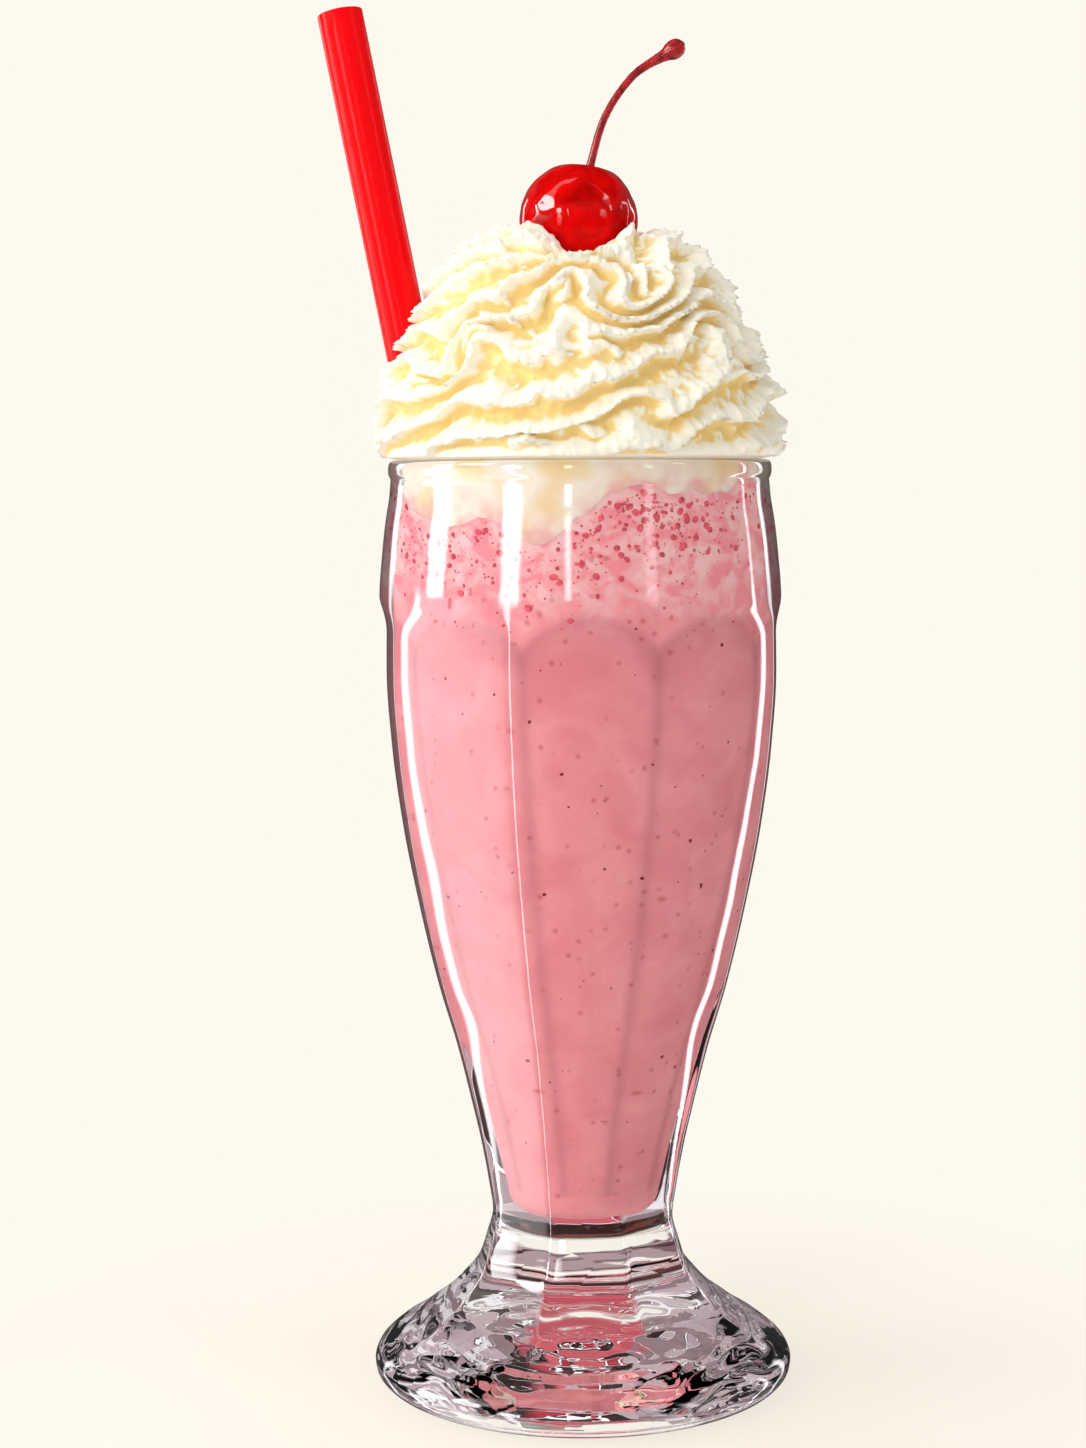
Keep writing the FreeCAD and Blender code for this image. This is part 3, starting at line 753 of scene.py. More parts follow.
class MILKSHAKE_OT_specks(bpy.types.Operator):
    """Scatter the fruit specks and the froth's bubbles against the inside of the glass"""

    bl_idname = "milkshake.specks"
    bl_label = "Make Specks and Bubbles"

    # (turn in degrees, spread in radians) of the drifts that bubbles gather in
    DRIFTS = [(-62, 0.3), (14, 0.26), (24, 0.22), (34, 0.3), (-28, 0.3), (90, 0.5), (150, 0.5), (210, 0.5)]

    SMOOTH_FROM = 0.45 * MM  # larger grains get a rounder mesh

    def bead(self, bm, shape, turn, height, size, flat, grow):
        """One flattened grain, half sunk in the drink."""
        place = Matrix.Translation(on_ring(shape.inside(height) + grow, turn, height))
        turned = Matrix.Rotation(turn, 4, "Z") @ Matrix.Rotation(random.uniform(0, TAU), 4, "Y")
        sized = Matrix.Diagonal((size * random.uniform(0.75, 1.3), flat, size, 1))
        bmesh.ops.create_icosphere(bm, subdivisions=2 if size > self.SMOOTH_FROM else 1, radius=1.0,
                                   matrix=place @ turned @ sized)

    def execute(self, context):
        g = context.scene.milkshake_glass
        drink = context.scene.milkshake_drink
        shape = GlassShape(g)
        random.seed(11)
        specks = bmesh.new()
        low = g.floor_height + 12 * MM
        for i in range(drink.specks):
            height = low + (drink.level - 14 * MM - low) * random.random() ** 0.75
            size = random.choice((0.14, 0.18, 0.22, 0.3, 0.42)) * MM
            turn = random.uniform(-math.pi, math.pi)
            self.bead(specks, shape, turn, height, size, 0.12 * MM, drink.overlap)
        dark = [c * 0.5 for c in drink.red]
        finish_piece(specks, "fruit_specks", speck_material("Fruit specks", dark), "milkshake")
        bubbles = bmesh.new()
        for i in range(drink.bubbles):
            middle, width = random.choice(self.DRIFTS)
            turn = math.radians(middle) + random.gauss(0, width)
            roof = boundary(turn, drink.level) - 1.5 * MM
            height = roof - abs(random.gauss(0, 7.5 * MM))
            size = random.choice((0.12, 0.15, 0.17, 0.2, 0.24, 0.3, 0.45, 0.65)) * MM
            if height > 0.9 * shape.shoulder:
                self.bead(bubbles, shape, turn, height, size, 0.16 * MM, drink.overlap)
        red = [1.75 * drink.red[0], 5.6 * drink.red[1], 4.4 * drink.red[2]]
        finish_piece(bubbles, "froth_bubbles", speck_material("Froth bubbles", red), "milkshake")
        return {"FINISHED"}


class MILKSHAKE_OT_cream(bpy.types.Operator):
    """Model the piped whipped cream, from inside the glass up to the peaks round the cherry"""

    bl_idname = "milkshake.cream"
    bl_label = "Make Whipped Cream"

    COLUMNS = 600
    ROWS = 156
    SKIRT_ROWS = 60
    SKIRT_COLUMNS = 300
    SKIRT_DEPTH = 14 * MM  # under the mean height of the boundary with the drink
    # (radius, height) of the mean outline over the lip, mm
    OVER_LIP = [(35.6, 189.1), (36.1, 189.9), (37.0, 190.2), (39.0, 190.6), (39.9, 192.6)]
    OUTLINE = [(39.6, 197.0), (38.9, 202.0), (37.2, 206.5), (35.6, 210.5), (33.4, 214.8), (31.0, 219.5),
               (28.8, 224.0), (25.2, 228.4), (20.6, 231.8), (16.6, 233.9), (13.6, 234.4)]
    CRATER = [(11.2, 232.4), (8.0, 229.6), (4.0, 227.4), (0.0, 226.8)]
    # (turn in degrees, height along the outline, reach, twist in radians) of the curls in the folds, mm
    CURLS = [(9, 34, 7.5, 2.6), (-38, 20, 6.0, -1.8), (58, 24, 6.5, 2.2), (112, 30, 7.0, -2.4),
             (160, 18, 7.0, 2.2), (-150, 32, 7.5, 2.4), (-105, 14, 6.0, -1.6), (20, 9, 5.0, 1.6)]
    # (turn in degrees, height added, width in degrees) of the soft peaks round the cherry, mm
    PEAKS = [(-33, 1.4, 16), (36, 0.6, 18), (72, 0.4, 18), (118, 0.8, 16), (165, 0.4, 18), (-150, 0.9, 16),
             (-100, 0.3, 18)]
    NOTCH = (2, 6.2, 23)  # the same of the dip in front of the cherry
    OVER_RIM = 190.12  # nothing outside the lip hangs lower, mm

    def outline_points(self):
        """Evenly spaced points along the outline: distance from the lip, radius, height, outward."""
        stations = self.OVER_LIP + self.OUTLINE + self.CRATER
        lengths = [0.0]
        for a, b in zip(stations, stations[1:]):
            lengths.append(lengths[-1] + math.hypot(b[0] - a[0], b[1] - a[1]))
        radius, height = [curve_through([(t, s[k]) for t, s in zip(lengths, stations)]) for k in (0, 1)]
        lip = lengths[len(self.OVER_LIP) - 2]
        crest = lengths[len(self.OVER_LIP) + len(self.OUTLINE) - 1]
        points = []
        for i in range(self.ROWS + 1):
            t = lengths[-1] * i / self.ROWS
            dr = radius(t + 0.4) - radius(t - 0.4)
            dz = height(t + 0.4) - height(t - 0.4)
            size = math.hypot(dr, dz) or 1.0
            points.append((t - lip, radius(t), height(t), dz / size, -dr / size))
        return points, crest - lip

    def curled(self, turn, t, radius):
        """The turn and height along the outline after the curls have twisted them."""
        for centre, along, reach, twist in self.CURLS:
            x = wrapped(turn, math.radians(centre)) * radius
            y = t - along
            near = math.exp(-(x * x * 0.6 + y * y) / (reach * reach))
            if near < 0.02:
                continue
            a = twist * near
            turn += (x * math.cos(a) - y * math.sin(a) - x) / radius
            t += x * math.sin(a) + y * math.cos(a) - y
        return turn, t

    def fold(self, cream, turn, t, radius, where):
        """How high the folds stand at a place, 0 to 1, with the ridge's phase."""
        turn, t = self.curled(turn, t, radius)
        spacing = cream.rope_spacing / MM
        warp = 0.45 * noise.noise(where * 0.065) + 0.24 * noise.noise(where * 0.15 + Vector((5, 0, 0)))
        warp += 0.06 * noise.noise(where * 0.4) + 0.14 * abs(noise.noise(where * 0.26 + Vector((0, 33, 0))))
        along = self.saw(t / spacing - cream.rope_starts * turn / TAU + warp, 0.68)
        mask = min(0.9, max(0.0, 2.6 * noise.noise(where * 0.1 + Vector((0, 0, 21))) - 0.15))
        across = self.saw(t / (spacing * 0.8) + 7 * turn / TAU + 2 * warp, 0.4)
        return max(along, across * mask)

    def peak(self, turn, middle, size, width):
        return size * bump_at(math.degrees(wrapped(turn, math.radians(middle))), 0, width)

    def saw(self, phase, low):
        """A rounded saw tooth: 1 at the start of each turn, 0 at the share low of it."""
        p = phase - math.floor(phase)
        return 1 - p / low if p < low else (p - low) / (1 - low)

    def execute(self, context):
        cream = context.scene.milkshake_cream
        g = context.scene.milkshake_glass
        drink = context.scene.milkshake_drink
        shape = GlassShape(g)
        points, crest = self.outline_points()
        self.make_skirt(g, drink, cream, shape, points[0][2] * MM)
        bm = bmesh.new()
        fold_layer = bm.verts.layers.float.new("fold")
        bm.verts.layers.float.new("pink")
        depth = cream.fold_depth / MM
        for v, row in lathe(bm, [(r * MM, z * MM) for _, r, z, _, _ in points], self.COLUMNS):
            t, radius, height, out_r, out_z = points[row]
            turn = turn_of(v.co)
            rise = min(1.0, max(0.0, t / 3.0))
            into = max(0.0, (t - crest) / 6.0)
            calm = rise * max(0.0, 1 - into) * (1 - 0.45 * min(1.0, max(0.0, (t - crest + 6) / 6)))
            v[fold_layer] = 0.5
            if radius < 0.01 or calm <= 0:
                continue
            where = Vector((radius * math.sin(turn), -radius * math.cos(turn), height))
            high = self.fold(cream, turn, t, max(radius, 12.0), where)
            torn = noise.noise(where * 0.5)
            fine = noise.noise(where * 1.2 + Vector((0, 0, 7)))
            edge = high + 0.06 * torn
            edge = edge if edge < 0.84 else 0.84 + (edge - 0.84) * 0.35
            ridge = (max(0.0, edge) / 0.9) ** 1.7
            tooth = radius * turn / (cream.tooth_pitch / MM) + 1.2 * torn
            tooth = abs(2 * (tooth - math.floor(tooth)) - 1) - 0.5
            teeth = (0.8 * tooth + 0.9 * fine) * cream.tooth_depth / MM * (0.12 + high**4)
            ragged = bump_at(wrapped(turn, math.radians(60)), 0, 0.5)
            ragged += 0.6 * min(1.0, max(0.0, (t - 34) / 14))
            crumbs = 1.5 * (0.3 - abs(noise.noise(where * 0.24 + Vector((4, 0, 0)))))
            crumbs = min(1.0, 0.5 + ragged) * (crumbs + 0.35 * torn + 0.2 * fine)
            lumps = 1.3 * noise.noise(where * 0.09 + Vector((0, 9, 0)))
            out = calm * (depth * (ridge - 0.40) + teeth + lumps + crumbs)
            down = calm * -1.5 * high**3
            top = max(0.0, min(1.0, (t - crest + 14) / 10.0))
            lift = sum(self.peak(turn, *peak) for peak in self.PEAKS) - self.peak(turn, *self.NOTCH)
            lift = (lift + 1.0 * noise.noise(where * 0.3 + Vector((3, 3, 3)))) * top
            lift *= max(0.0, 1 - max(0.0, t - crest) / 9.0)
            new_r = radius + out * out_r - down * out_z
            new_z = height + out * out_z + down * out_r + lift
            v.co = on_ring(new_r * MM, turn, max(new_z, self.OVER_RIM if t > 2 else 0) * MM)
            # a low fold value down in the hollows, which the cream's material paints with shade
            v[fold_layer] = 0.25 + 0.5 * high
        close_poles(bm)
        self.paint_crease_shade(bm, fold_layer)
        bmesh.ops.holes_fill(bm, edges=[e for e in bm.edges if e.is_boundary], sides=0)
        bmesh.ops.recalc_face_normals(bm, faces=bm.faces)
        finish_piece(bm, "whipped_cream_swirl", cream_material(cream), "whipped_cream", "whipped_cream")
        return {"FINISHED"}

    def paint_crease_shade(self, bm, layer):
        """Paints shade into the fold value: lowers it where the surface is hollow for its surroundings,
        raises it on edges.

        The surface is smoothed for a number of rounds and then put back. How far it stood out from its
        smoothed self, against a size, says how sharp an edge or a hollow is.
        """
        there = [v.co.copy() for v in bm.verts]
        bm.normal_update()
        facing = [v.normal.copy() for v in bm.verts]
        for rounds, size in ((8, 0.16 * MM), (50, 0.6 * MM)):
            for _ in range(rounds):
                bmesh.ops.smooth_vert(bm, verts=bm.verts, factor=0.5, use_axis_x=True, use_axis_y=True,
                                      use_axis_z=True)
            for v, place, normal in zip(bm.verts, there, facing):
                stand = (place - v.co).dot(normal) / size
                v[layer] += 0.22 * max(-1.0, min(1.0, stand))
                v.co = place

    def make_skirt(self, g, drink, cream, shape, top):
        """The cream seen through the glass, streaked with pink, from the milkshake up to the lip."""
        bm = bmesh.new()
        bottom = drink.level - self.SKIRT_DEPTH
        rows = self.SKIRT_ROWS
        ring = [(35.0 * MM, z) for z in [bottom] + spread(bottom, top, rows)]
        fold_layer = bm.verts.layers.float.new("fold")
        pink_layer = bm.verts.layers.float.new("pink")
        for v, row in lathe(bm, [(0.0, bottom)] + ring + [(0.0, top)], self.SKIRT_COLUMNS):
            turn = turn_of(v.co)
            edge = min(boundary(turn, drink.level), g.height - 1.3 * MM)
            share = (row - 1) / rows
            if row == 0:
                v.co.z = drink.level - 16 * MM
            if row == 0 or row > rows + 1:
                continue
            height = edge + (top - edge) * share
            v.co = on_ring(shape.inside(height) + drink.overlap + 0.05 * MM, turn, height)
            streak = 0.5 + 0.9 * noise.noise(v.co * 230) + 0.5 * noise.noise(v.co * 600)
            above = (height - edge) / MM
            v[pink_layer] = max(0.0, min(0.85, streak * math.exp(-above / 3.5) + 0.12))
            v[fold_layer] = 0.5 + 0.6 * noise.noise(v.co * 140)
        close_poles(bm)
        finish_piece(bm, "whipped_cream_skirt", cream_material(cream), "whipped_cream")


def cherry_frame(settings):
    """The cherry's own place: its centre, leaning with its stem end towards +X."""
    return Matrix.Translation((0, 0, settings.centre_height)) @ Matrix.Rotation(settings.tilt, 4, "Y")


class MILKSHAKE_OT_cherry(bpy.types.Operator):
    """Model the cherry and its curved stem with the knob at its end"""

    bl_idname = "milkshake.cherry"
    bl_label = "Make Cherry"

    ROWS = 72
    STEM_RINGS = 64
    KNOB_REACH = 1.06  # the knob's end, as a share of the stem
    # (share of the stem, times its radius)
    STEM_WIDTH = [(0.0, 1.35), (0.1, 1.04), (0.55, 0.94), (0.8, 1.1), (0.92, 1.6), (0.955, 2.3),
                  (0.985, 2.55), (1.02, 2.3), (1.045, 1.5), (1.06, 0.35)]

    def fruit(self, cherry):
        half = cherry.height / 2
        outline = []
        for i in range(self.ROWS + 1):
            a = math.pi * i / self.ROWS
            r = cherry.radius * math.sin(a)
            z = min(half * math.cos(a) * (1.0 + 0.03 * math.cos(a)), half)
            if i < self.ROWS / 2:
                z -= cherry.dimple * bump_at(r, 0, cherry.radius * 0.26)
            outline.append((r, z))
        bm = bmesh.new()
        lathe(bm, outline, 96)
        close_poles(bm)
        for v in bm.verts:
            out = v.co.normalized()
            v.co += out * (0.26 * MM * noise.noise(v.co * 160) + 0.13 * MM * noise.noise(v.co * 420))
        bmesh.ops.transform(bm, matrix=cherry_frame(cherry), verts=bm.verts)
        finish_piece(bm, "cherry_fruit", cherry_material(cherry), "cherry", "cherry")

    def stalk(self, cherry):
        """A ring extruded along the stem's curve, and swelling into the knob."""
        foot = Vector((0.6 * MM, 0, cherry.height / 2 - 2.2 * MM))
        stations = [(0.0, 0.0, 0.0), (0.3, 1.3 * MM, 9.9 * MM), (0.68, 6.0 * MM, 20.4 * MM),
                    (1.0, 14.2 * MM, 27.5 * MM)]
        run, rise = [curve_through([(s[0], s[k]) for s in stations]) for k in (1, 2)]
        width = curve_through(self.STEM_WIDTH)
        bm = bmesh.new()
        ring = bmesh.ops.create_circle(bm, segments=20, radius=1.0, cap_ends=True)["verts"]
        for i in range(self.STEM_RINGS + 1):
            share = self.KNOB_REACH * i / self.STEM_RINGS
            inside = min(share, 1.0)
            ahead, behind = min(inside + 0.01, 1.0), max(inside - 0.01, 0.0)
            along = Vector((run(ahead) - run(behind), 0, rise(ahead) - rise(behind))).normalized()
            middle = foot + Vector((run(inside), 1.2 * MM * inside, rise(inside)))
            middle += along * (share - inside) * 30 * MM
            side = Vector((0, 1, 0)).cross(along).normalized()
            across = along.cross(side).normalized()
            size = cherry.stem_radius * width(share)
            for k, v in enumerate(ring):
                a = TAU * k / len(ring)
                lump = 1 + 0.07 * noise.noise(Vector((k * 0.6, share * 40, 0)))
                v.co = middle + (side * math.cos(a) + across * math.sin(a)) * size * lump
            if i < self.STEM_RINGS:
                edges = [e for e in bm.edges if e.verts[0] in ring and e.verts[1] in ring]
                grown = bmesh.ops.extrude_edge_only(bm, edges=edges)["geom"]
                fresh = {v for v in grown if isinstance(v, bmesh.types.BMVert)}
                ring = [next(e.other_vert(v) for e in v.link_edges if e.other_vert(v) in fresh)
                        for v in ring]
        bmesh.ops.contextual_create(bm, geom=ring)
        bmesh.ops.recalc_face_normals(bm, faces=bm.faces)
        bmesh.ops.transform(bm, matrix=cherry_frame(cherry), verts=bm.verts)
        finish_piece(bm, "cherry_stalk", stem_material(cherry), "cherry_stem", "cherry_stem")

    def execute(self, context):
        cherry = context.scene.milkshake_cherry
        self.fruit(cherry)
        self.stalk(cherry)
        return {"FINISHED"}


class MILKSHAKE_OT_straw(bpy.types.Operator):
    """Model the open-ended straw that leans on the lip"""

    bl_idname = "milkshake.straw"
    bl_label = "Make Straw"

    # the middles of its ends, as packed
    FOOT = Vector((-0.976, -5.056, 42.273)) * MM
    TOP = Vector((-48.594, 10.097, 281.0)) * MM

    def execute(self, context):
        straw = context.scene.milkshake_straw
        axis = self.TOP - self.FOOT
        outer, inner = straw.radius, straw.radius - straw.wall
        middle, tip = (outer + inner) / 2, straw.wall / 2
        outline = [(inner, axis.length - tip), (inner, tip)]
        outline += [(middle - tip * math.cos(a), tip - tip * math.sin(a)) for a in spread(0, math.pi, 6)]
        outline += [(outer, tip + (axis.length - 2 * tip) * s) for s in spread(0, 1, 60)]
        outline += [(middle + tip * math.cos(a), axis.length - tip + tip * math.sin(a))
                    for a in spread(0, math.pi, 6)]
        bm = bmesh.new()
        lathe(bm, outline, 72)
        close_poles(bm)
        lean = Vector((0, 0, 1)).rotation_difference(axis).to_matrix().to_4x4()
        bmesh.ops.transform(bm, matrix=Matrix.Translation(self.FOOT) @ lean, verts=bm.verts)
        finish_piece(bm, "drinking_straw", straw_material(straw), "straw", "straw")
        return {"FINISHED"}


# ---- stage --------------------------------------------------------------------------------------------


class MILKSHAKE_OT_stage(bpy.types.Operator):
    """Set up the pale floor, the soft lights and the camera"""

    bl_idname = "milkshake.stage"
    bl_label = "Make Stage"

    # name, place, aim, width, height, power, colour
    LAMPS = [
        ("window left", (-0.75, -0.10, 0.42), (0, 0, 0.16), 0.40, 0.62, 2.3, (1.0, 0.985, 0.96)),
        ("window front left", (-0.45, -0.68, 0.46), (0, 0, 0.17), 0.30, 0.60, 2.7, (1.0, 0.985, 0.96)),
        ("fill right", (0.62, -0.22, 0.66), (0, 0, 0.21), 0.30, 0.45, 0.75, (1.0, 0.99, 0.98)),
        ("overhead", (-0.10, 0.05, 0.95), (0, 0, 0.2), 0.6, 0.6, 2.0, (1.0, 0.985, 0.965)),
    ]
    BRIGHTEST = 20.0
    # (turn from the front in degrees, brightness) of what glossy surfaces mirror above the horizon
    UPPER = [(-180, 0.08), (-143, 0.1), (-140, 6), (-134, 6), (-132, 0.12), (-98, 0.12), (-96, 15),
             (-85, 13), (-83, 0.3), (-60, 0.2), (-46, 0.15), (-44, 17), (-35, 17), (-33, 0.12),
             (-9, 0.1), (-8, 14), (-6, 14), (-5, 0.1), (37, 0.1), (39, 4), (43, 4), (45, 0.1),
             (114, 0.1), (115, 6), (117, 6), (118, 0.12), (134, 0.12), (135, 6), (138, 6), (140, 0.1),
             (179.9, 0.08)]
    # the same high above it
    HIGH = [(-180, 0.1), (-81, 0.1), (-79, 18), (-58, 18), (-56, 0.1), (60, 0.1), (62, 7), (66, 7),
            (68, 0.1), (179.9, 0.1)]
    # the same below the horizon
    LOWER = [(-180, 0.06), (-142, 0.1), (-139, 4), (-136, 4), (-134, 0.12), (-107.5, 0.12), (-106, 13),
             (-103, 13), (-101.5, 3.2), (-70, 2.6), (-54, 0.15), (-43, 0.12), (-42, 13), (-39, 13),
             (-38, 0.12), (60, 0.1), (114, 0.12), (115, 11), (117, 11), (118, 0.12), (134, 0.1),
             (136, 4), (139, 4), (141, 0.06), (179.9, 0.06)]

    def camera(self, context):
        s = context.scene.milkshake_studio
        data = bpy.data.cameras.new("camera")
        data.lens = s.lens
        data.sensor_width = 36.0
        data.clip_start, data.clip_end = 0.01, 50.0
        camera = bpy.data.objects.new("camera", data)
        context.scene.collection.objects.link(camera)
        turn = Matrix.Rotation(s.yaw, 4, "Z") @ Matrix.Rotation(math.pi / 2 - s.pitch, 4, "X")
        turn = turn @ Matrix.Rotation(-s.roll, 4, "Z")
        camera.matrix_world = Matrix.Translation((0, -s.distance, s.eye_height)) @ turn
        context.scene.camera = camera

    def lamps(self, context):
        for name, place, aim, width, height, power, tone in self.LAMPS:
            data = bpy.data.lights.new(name, "AREA")
            data.shape = "RECTANGLE"
            data.size, data.size_y = width, height
            data.energy = power
            data.color = tone
            lamp = bpy.data.objects.new(name, data)
            context.scene.collection.objects.link(lamp)
            lamp.location = place
            lamp.rotation_euler = (Vector(aim) - Vector(place)).to_track_quat("-Z", "Y").to_euler()
            lamp.visible_camera = False
            lamp.visible_glossy = False
            lamp.visible_transmission = False

    def floor(self, context):
        """A wide round floor, shaded near the foot and melting into the backdrop further out."""
        paper = context.scene.milkshake_studio.paper
        bm = bmesh.new()
        bmesh.ops.create_circle(bm, cap_ends=True, cap_tris=False, segments=96, radius=30.0)
        mesh = bpy.data.meshes.new("floor")
        bm.to_mesh(mesh)
        bm.free()
        floor = bpy.data.objects.new("floor", mesh)
        floor.location.z = -0.02 * MM
        context.scene.collection.objects.link(floor)
        material, n, shader = new_material(
            "Pale paper", Base_Color=rgba(paper, 0.999), Roughness=0.9, Specular_IOR_Level=0.1)
        coords = n.add("TexCoord")
        far = (n.add("VectorMath", {"operation": "LENGTH"}, n0=(coords, "Object")), "Value")
        glow = n.add("Emission", Color=rgba(paper), Strength=1.0)
        both = n.add("MixShader", n0=n.step(far, 0.05, 0.16, To_Min=0.45), n1=(shader, "BSDF"),
                     n2=(glow, "Emission"))
        rays = n.add("LightPath")
        undiffused = n.math("SUBTRACT", 1.0, (rays, "Is Diffuse Ray"))
        mirrored = n.math("MULTIPLY", (rays, "Is Reflection Ray"), undiffused)
        bent = n.math("MULTIPLY", (rays, "Is Transmission Ray"), n.math("GREATER_THAN", far, 0.015))
        gone = n.math("MAXIMUM", mirrored, bent)
        clear = n.add("BsdfTransparent")
        n.put(n.output, "Surface", n.add("MixShader", n0=gone, n1=(both, "Shader"), n2=clear))
        mesh.materials.append(material)

    def windows(self, n, way):
        """What mirrored rays see: bright windows and strips in a dark room."""
        turn = n.math("ARCTAN2", (way, "X"), n.math("MULTIPLY", (way, "Y"), -1.0))
        share = n.math("ADD", n.math("DIVIDE", turn, TAU), 0.5)
        lower, upper, high = [
            n.ramp(share, *[(degrees / 360 + 0.5, level / self.BRIGHTEST) for degrees, level in row])
            for row in (self.LOWER, self.UPPER, self.HIGH)
        ]
        level = n.mix(n.rise((way, "Z"), -0.015, 0.045), lower, upper)
        level = n.mix(n.rise((way, "Z"), 0.30, 0.34), level, high)
        top = n.ramp(n.math("ADD", n.math("MULTIPLY", (way, "Z"), 0.5), 0.5), (0.77, 1.0), (0.80, 0.10))
        level = n.math("MULTIPLY", n.math("MULTIPLY", level, top), self.BRIGHTEST)
        room = n.mix(level, BLACK, WHITE)
        room[0].clamp_factor = False
        return room

    def clutter(self, n, coords, way, paper):
        """What refracted rays see: patches with dark and bright rims, and bands further down."""
        bent = n.add("Mapping", Vector=(coords, "Generated"), Scale=(1, 1, 2.4))
        shift = n.add("TexNoise", Vector=bent, Scale=2.5, Detail=0.0)
        shift = n.add("VectorMath", {"operation": "SCALE"}, n0=(shift, "Color"), Scale=0.3)
        swirled = n.add("VectorMath", {"operation": "ADD"}, n0=bent, n1=shift)
        cells = n.add("TexVoronoi", Vector=swirled, Scale=2.4)
        rims = n.add("TexVoronoi", {"feature": "DISTANCE_TO_EDGE"}, Vector=swirled, Scale=2.4)
        pick = n.add("SeparateColor", Color=(cells, "Color"))
        tone = (0.03, 0.018, 0.02, 1)
        for start, patch in (
            (0.16, (0.30, 0.2, 0.22, 1)), (0.42, (0.55, 0.42, 0.45, 1)), (0.74, (0.97, 0.90, 0.93, 1)),
        ):
            tone = n.mix(n.ramp(pick, (start, 0.0), (start + 0.02, 1.0)), tone, patch)
        middle = n.ramp(n.math("ABSOLUTE", (way, "X")), (0.12, 1.0), (0.2, 0.0))
        warm = n.math("MULTIPLY", middle, n.math("GREATER_THAN", (pick, "Green"), 0.12))
        tone = n.mix(warm, tone, n.mix((pick, "Blue"), (0.38, 0.02, 0.04, 1), (0.72, 0.14, 0.18, 1)))
        for inner, outer, rim in (
            (0.02, 0.03, (0.05, 0.015, 0.015, 1)), (0.008, 0.014, (1.3, 1.22, 1.24, 1)),
        ):
            tone = n.mix(n.ramp(rims, (inner, 1.0), (outer, 0.0)), tone, rim)
        flat = n.add("Mapping", Vector=(coords, "Generated"), Scale=(1.5, 1.5, 9))
        streak = n.add("TexNoise", Vector=flat, Scale=1.0, Detail=1.0)
        mauve, brown = [
            n.mix(n.ramp(streak, (start, 0.0), (end, 1.0)), dark, light) for start, end, dark, light in (
                (0.46, 0.50, (0.20, 0.12, 0.13, 1), (0.45, 0.33, 0.35, 1)),
                (0.56, 0.58, (0.022, 0.007, 0.004, 1), (0.14, 0.03, 0.02, 1)),
            )
        ]
        bands = n.mix(n.math("GREATER_THAN", (way, "Z"), -0.6), mauve, brown)
        steep = n.math("LESS_THAN", (way, "Z"), -0.37)
        tone = n.mix(n.math("MULTIPLY", steep, n.math("GREATER_THAN", (way, "Y"), 0.3)), tone, bands)
        return n.mix(n.rise((way, "Z"), -0.79, -0.82), tone, rgba(paper))

    def backdrop(self, context):
        """The surroundings, which look different to each kind of ray."""
        paper = context.scene.milkshake_studio.paper
        world = bpy.data.worlds.new("studio")
        world.use_nodes = True
        world.node_tree.nodes.clear()
        n = Nodes(world.node_tree)
        coords = n.add("TexCoord")
        way = n.add("SeparateXYZ", Vector=(coords, "Generated"))
        lean = n.math("ADD", n.math("MULTIPLY", (way, "X"), -0.16), n.math("MULTIPLY", (way, "Z"), 0.10))
        soft = n.mix(n.math("ADD", lean, 0.48), BLACK, rgba(paper))
        seen = n.add("LightPath")
        tone = self.clutter(n, coords, way, paper)
        tone = n.mix((seen, "Is Reflection Ray"), tone, self.windows(n, way))
        tone = n.mix((seen, "Is Diffuse Ray"), tone, soft)
        tone = n.mix((seen, "Is Camera Ray"), tone, rgba(paper))
        glow = n.add("Background", Color=tone, Strength=1.0)
        n.add("OutputWorld", Surface=(glow, "Background"))
        world.cycles.sampling_method = "NONE"
        context.scene.world = world

    def execute(self, context):
        self.camera(context)
        self.lamps(context)
        self.floor(context)
        self.backdrop(context)
        scene = context.scene
        scene.view_settings.view_transform = "Standard"
        scene.view_settings.look = "None"
        scene.cycles.max_bounces = scene.cycles.transmission_bounces = 24
        scene.cycles.transparent_max_bounces = 16
        scene.cycles.diffuse_bounces = 4
        scene.cycles.caustics_reflective = False
        return {"FINISHED"}


# ---- add-on -------------------------------------------------------------------------------------------

SETTINGS = {
    "milkshake_glass": GlassSettings,
    "milkshake_drink": DrinkSettings,
    "milkshake_cream": CreamSettings,
    "milkshake_cherry": CherrySettings,
    "milkshake_straw": StrawSettings,
    "milkshake_studio": StudioSettings,
}
STEPS_IN_ORDER = ["glass", "drink", "specks", "cream", "cherry", "straw", "stage"]


class MILKSHAKE_PT_panel(bpy.types.Panel):
    """A button for each step, with its sizes and colours below it"""

    bl_label = "Milkshake"
    bl_idname = "MILKSHAKE_PT_panel"
    bl_space_type = "VIEW_3D"
    bl_region_type = "UI"
    bl_category = "Milkshake"

    def draw(self, context):
        for step in STEPS_IN_ORDER:
            self.layout.operator(f"milkshake.{step}")
            settings = getattr(context.scene, f"milkshake_{step}", None)
            if settings is None:
                continue
            box = self.layout.box()
            for key in settings.__annotations__:
                box.prop(settings, key)


CLASSES = [
    *SETTINGS.values(),
    MILKSHAKE_OT_glass,
    MILKSHAKE_OT_drink,
    MILKSHAKE_OT_specks,
    MILKSHAKE_OT_cream,
    MILKSHAKE_OT_cherry,
    MILKSHAKE_OT_straw,
    MILKSHAKE_OT_stage,
    MILKSHAKE_PT_panel,
]


def register():
    for cls in CLASSES:
        bpy.utils.register_class(cls)
    for name, cls in SETTINGS.items():
        setattr(bpy.types.Scene, name, PointerProperty(type=cls))


def unregister():
    for name in SETTINGS:
        delattr(bpy.types.Scene, name)
    for cls in reversed(CLASSES):
        bpy.utils.unregister_class(cls)


def main():
    register()
    for step in STEPS_IN_ORDER:
        getattr(bpy.ops.milkshake, step)()
    bpy.context.view_layer.update()


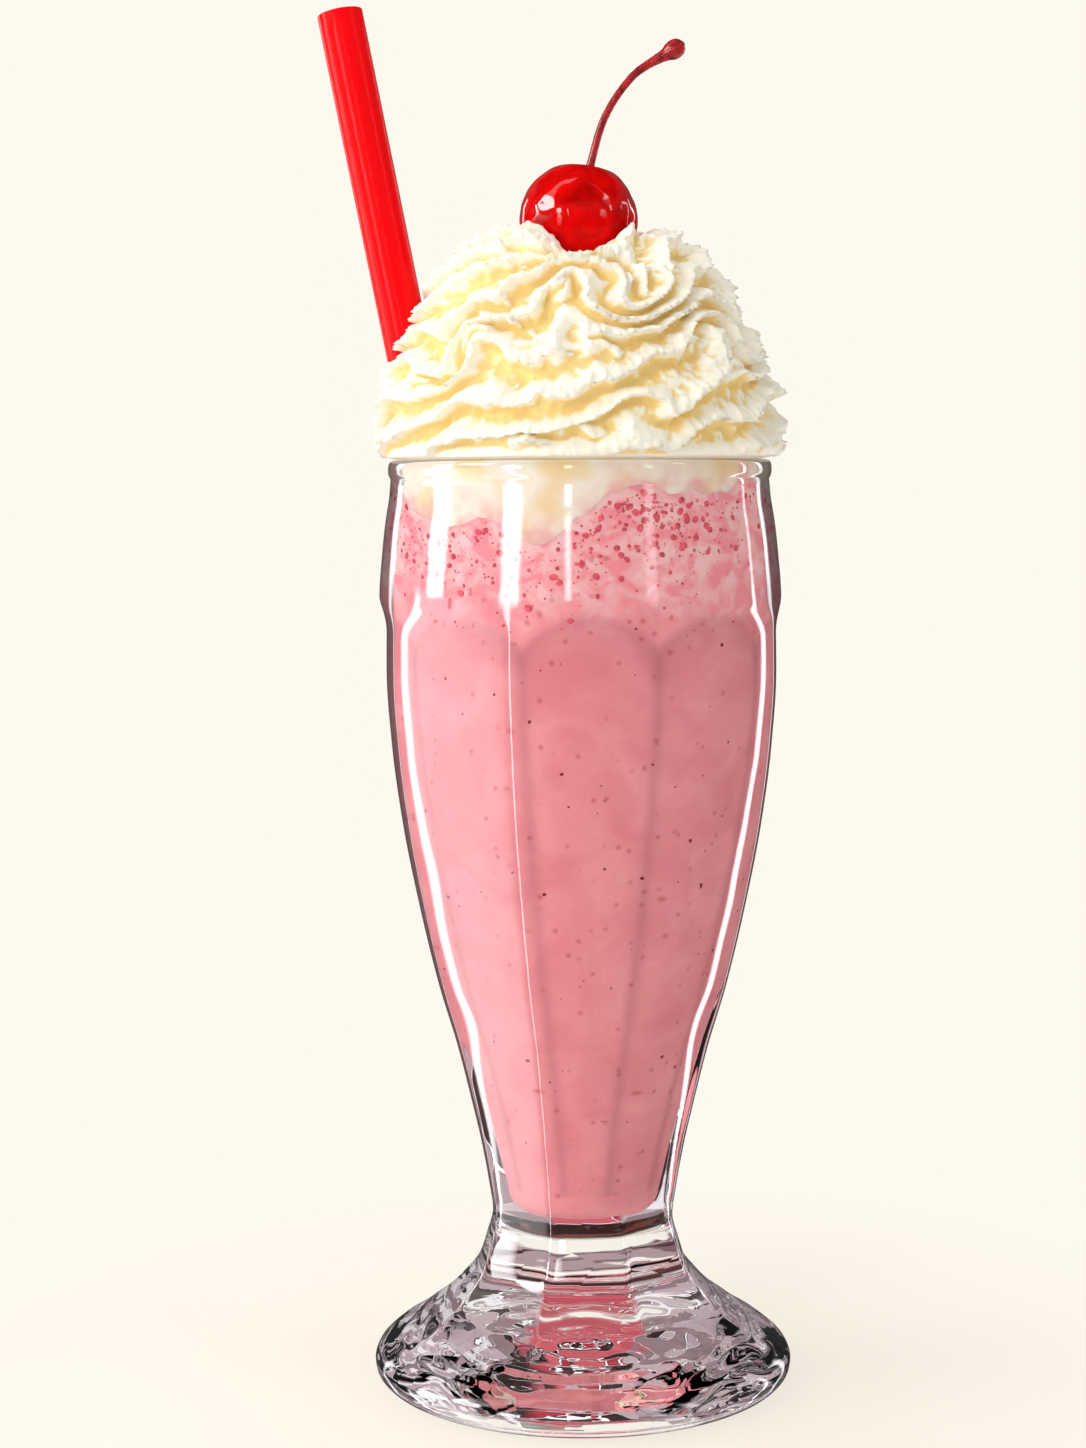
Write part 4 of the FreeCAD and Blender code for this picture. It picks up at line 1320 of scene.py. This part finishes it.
if __name__ == "__main__":
    main()
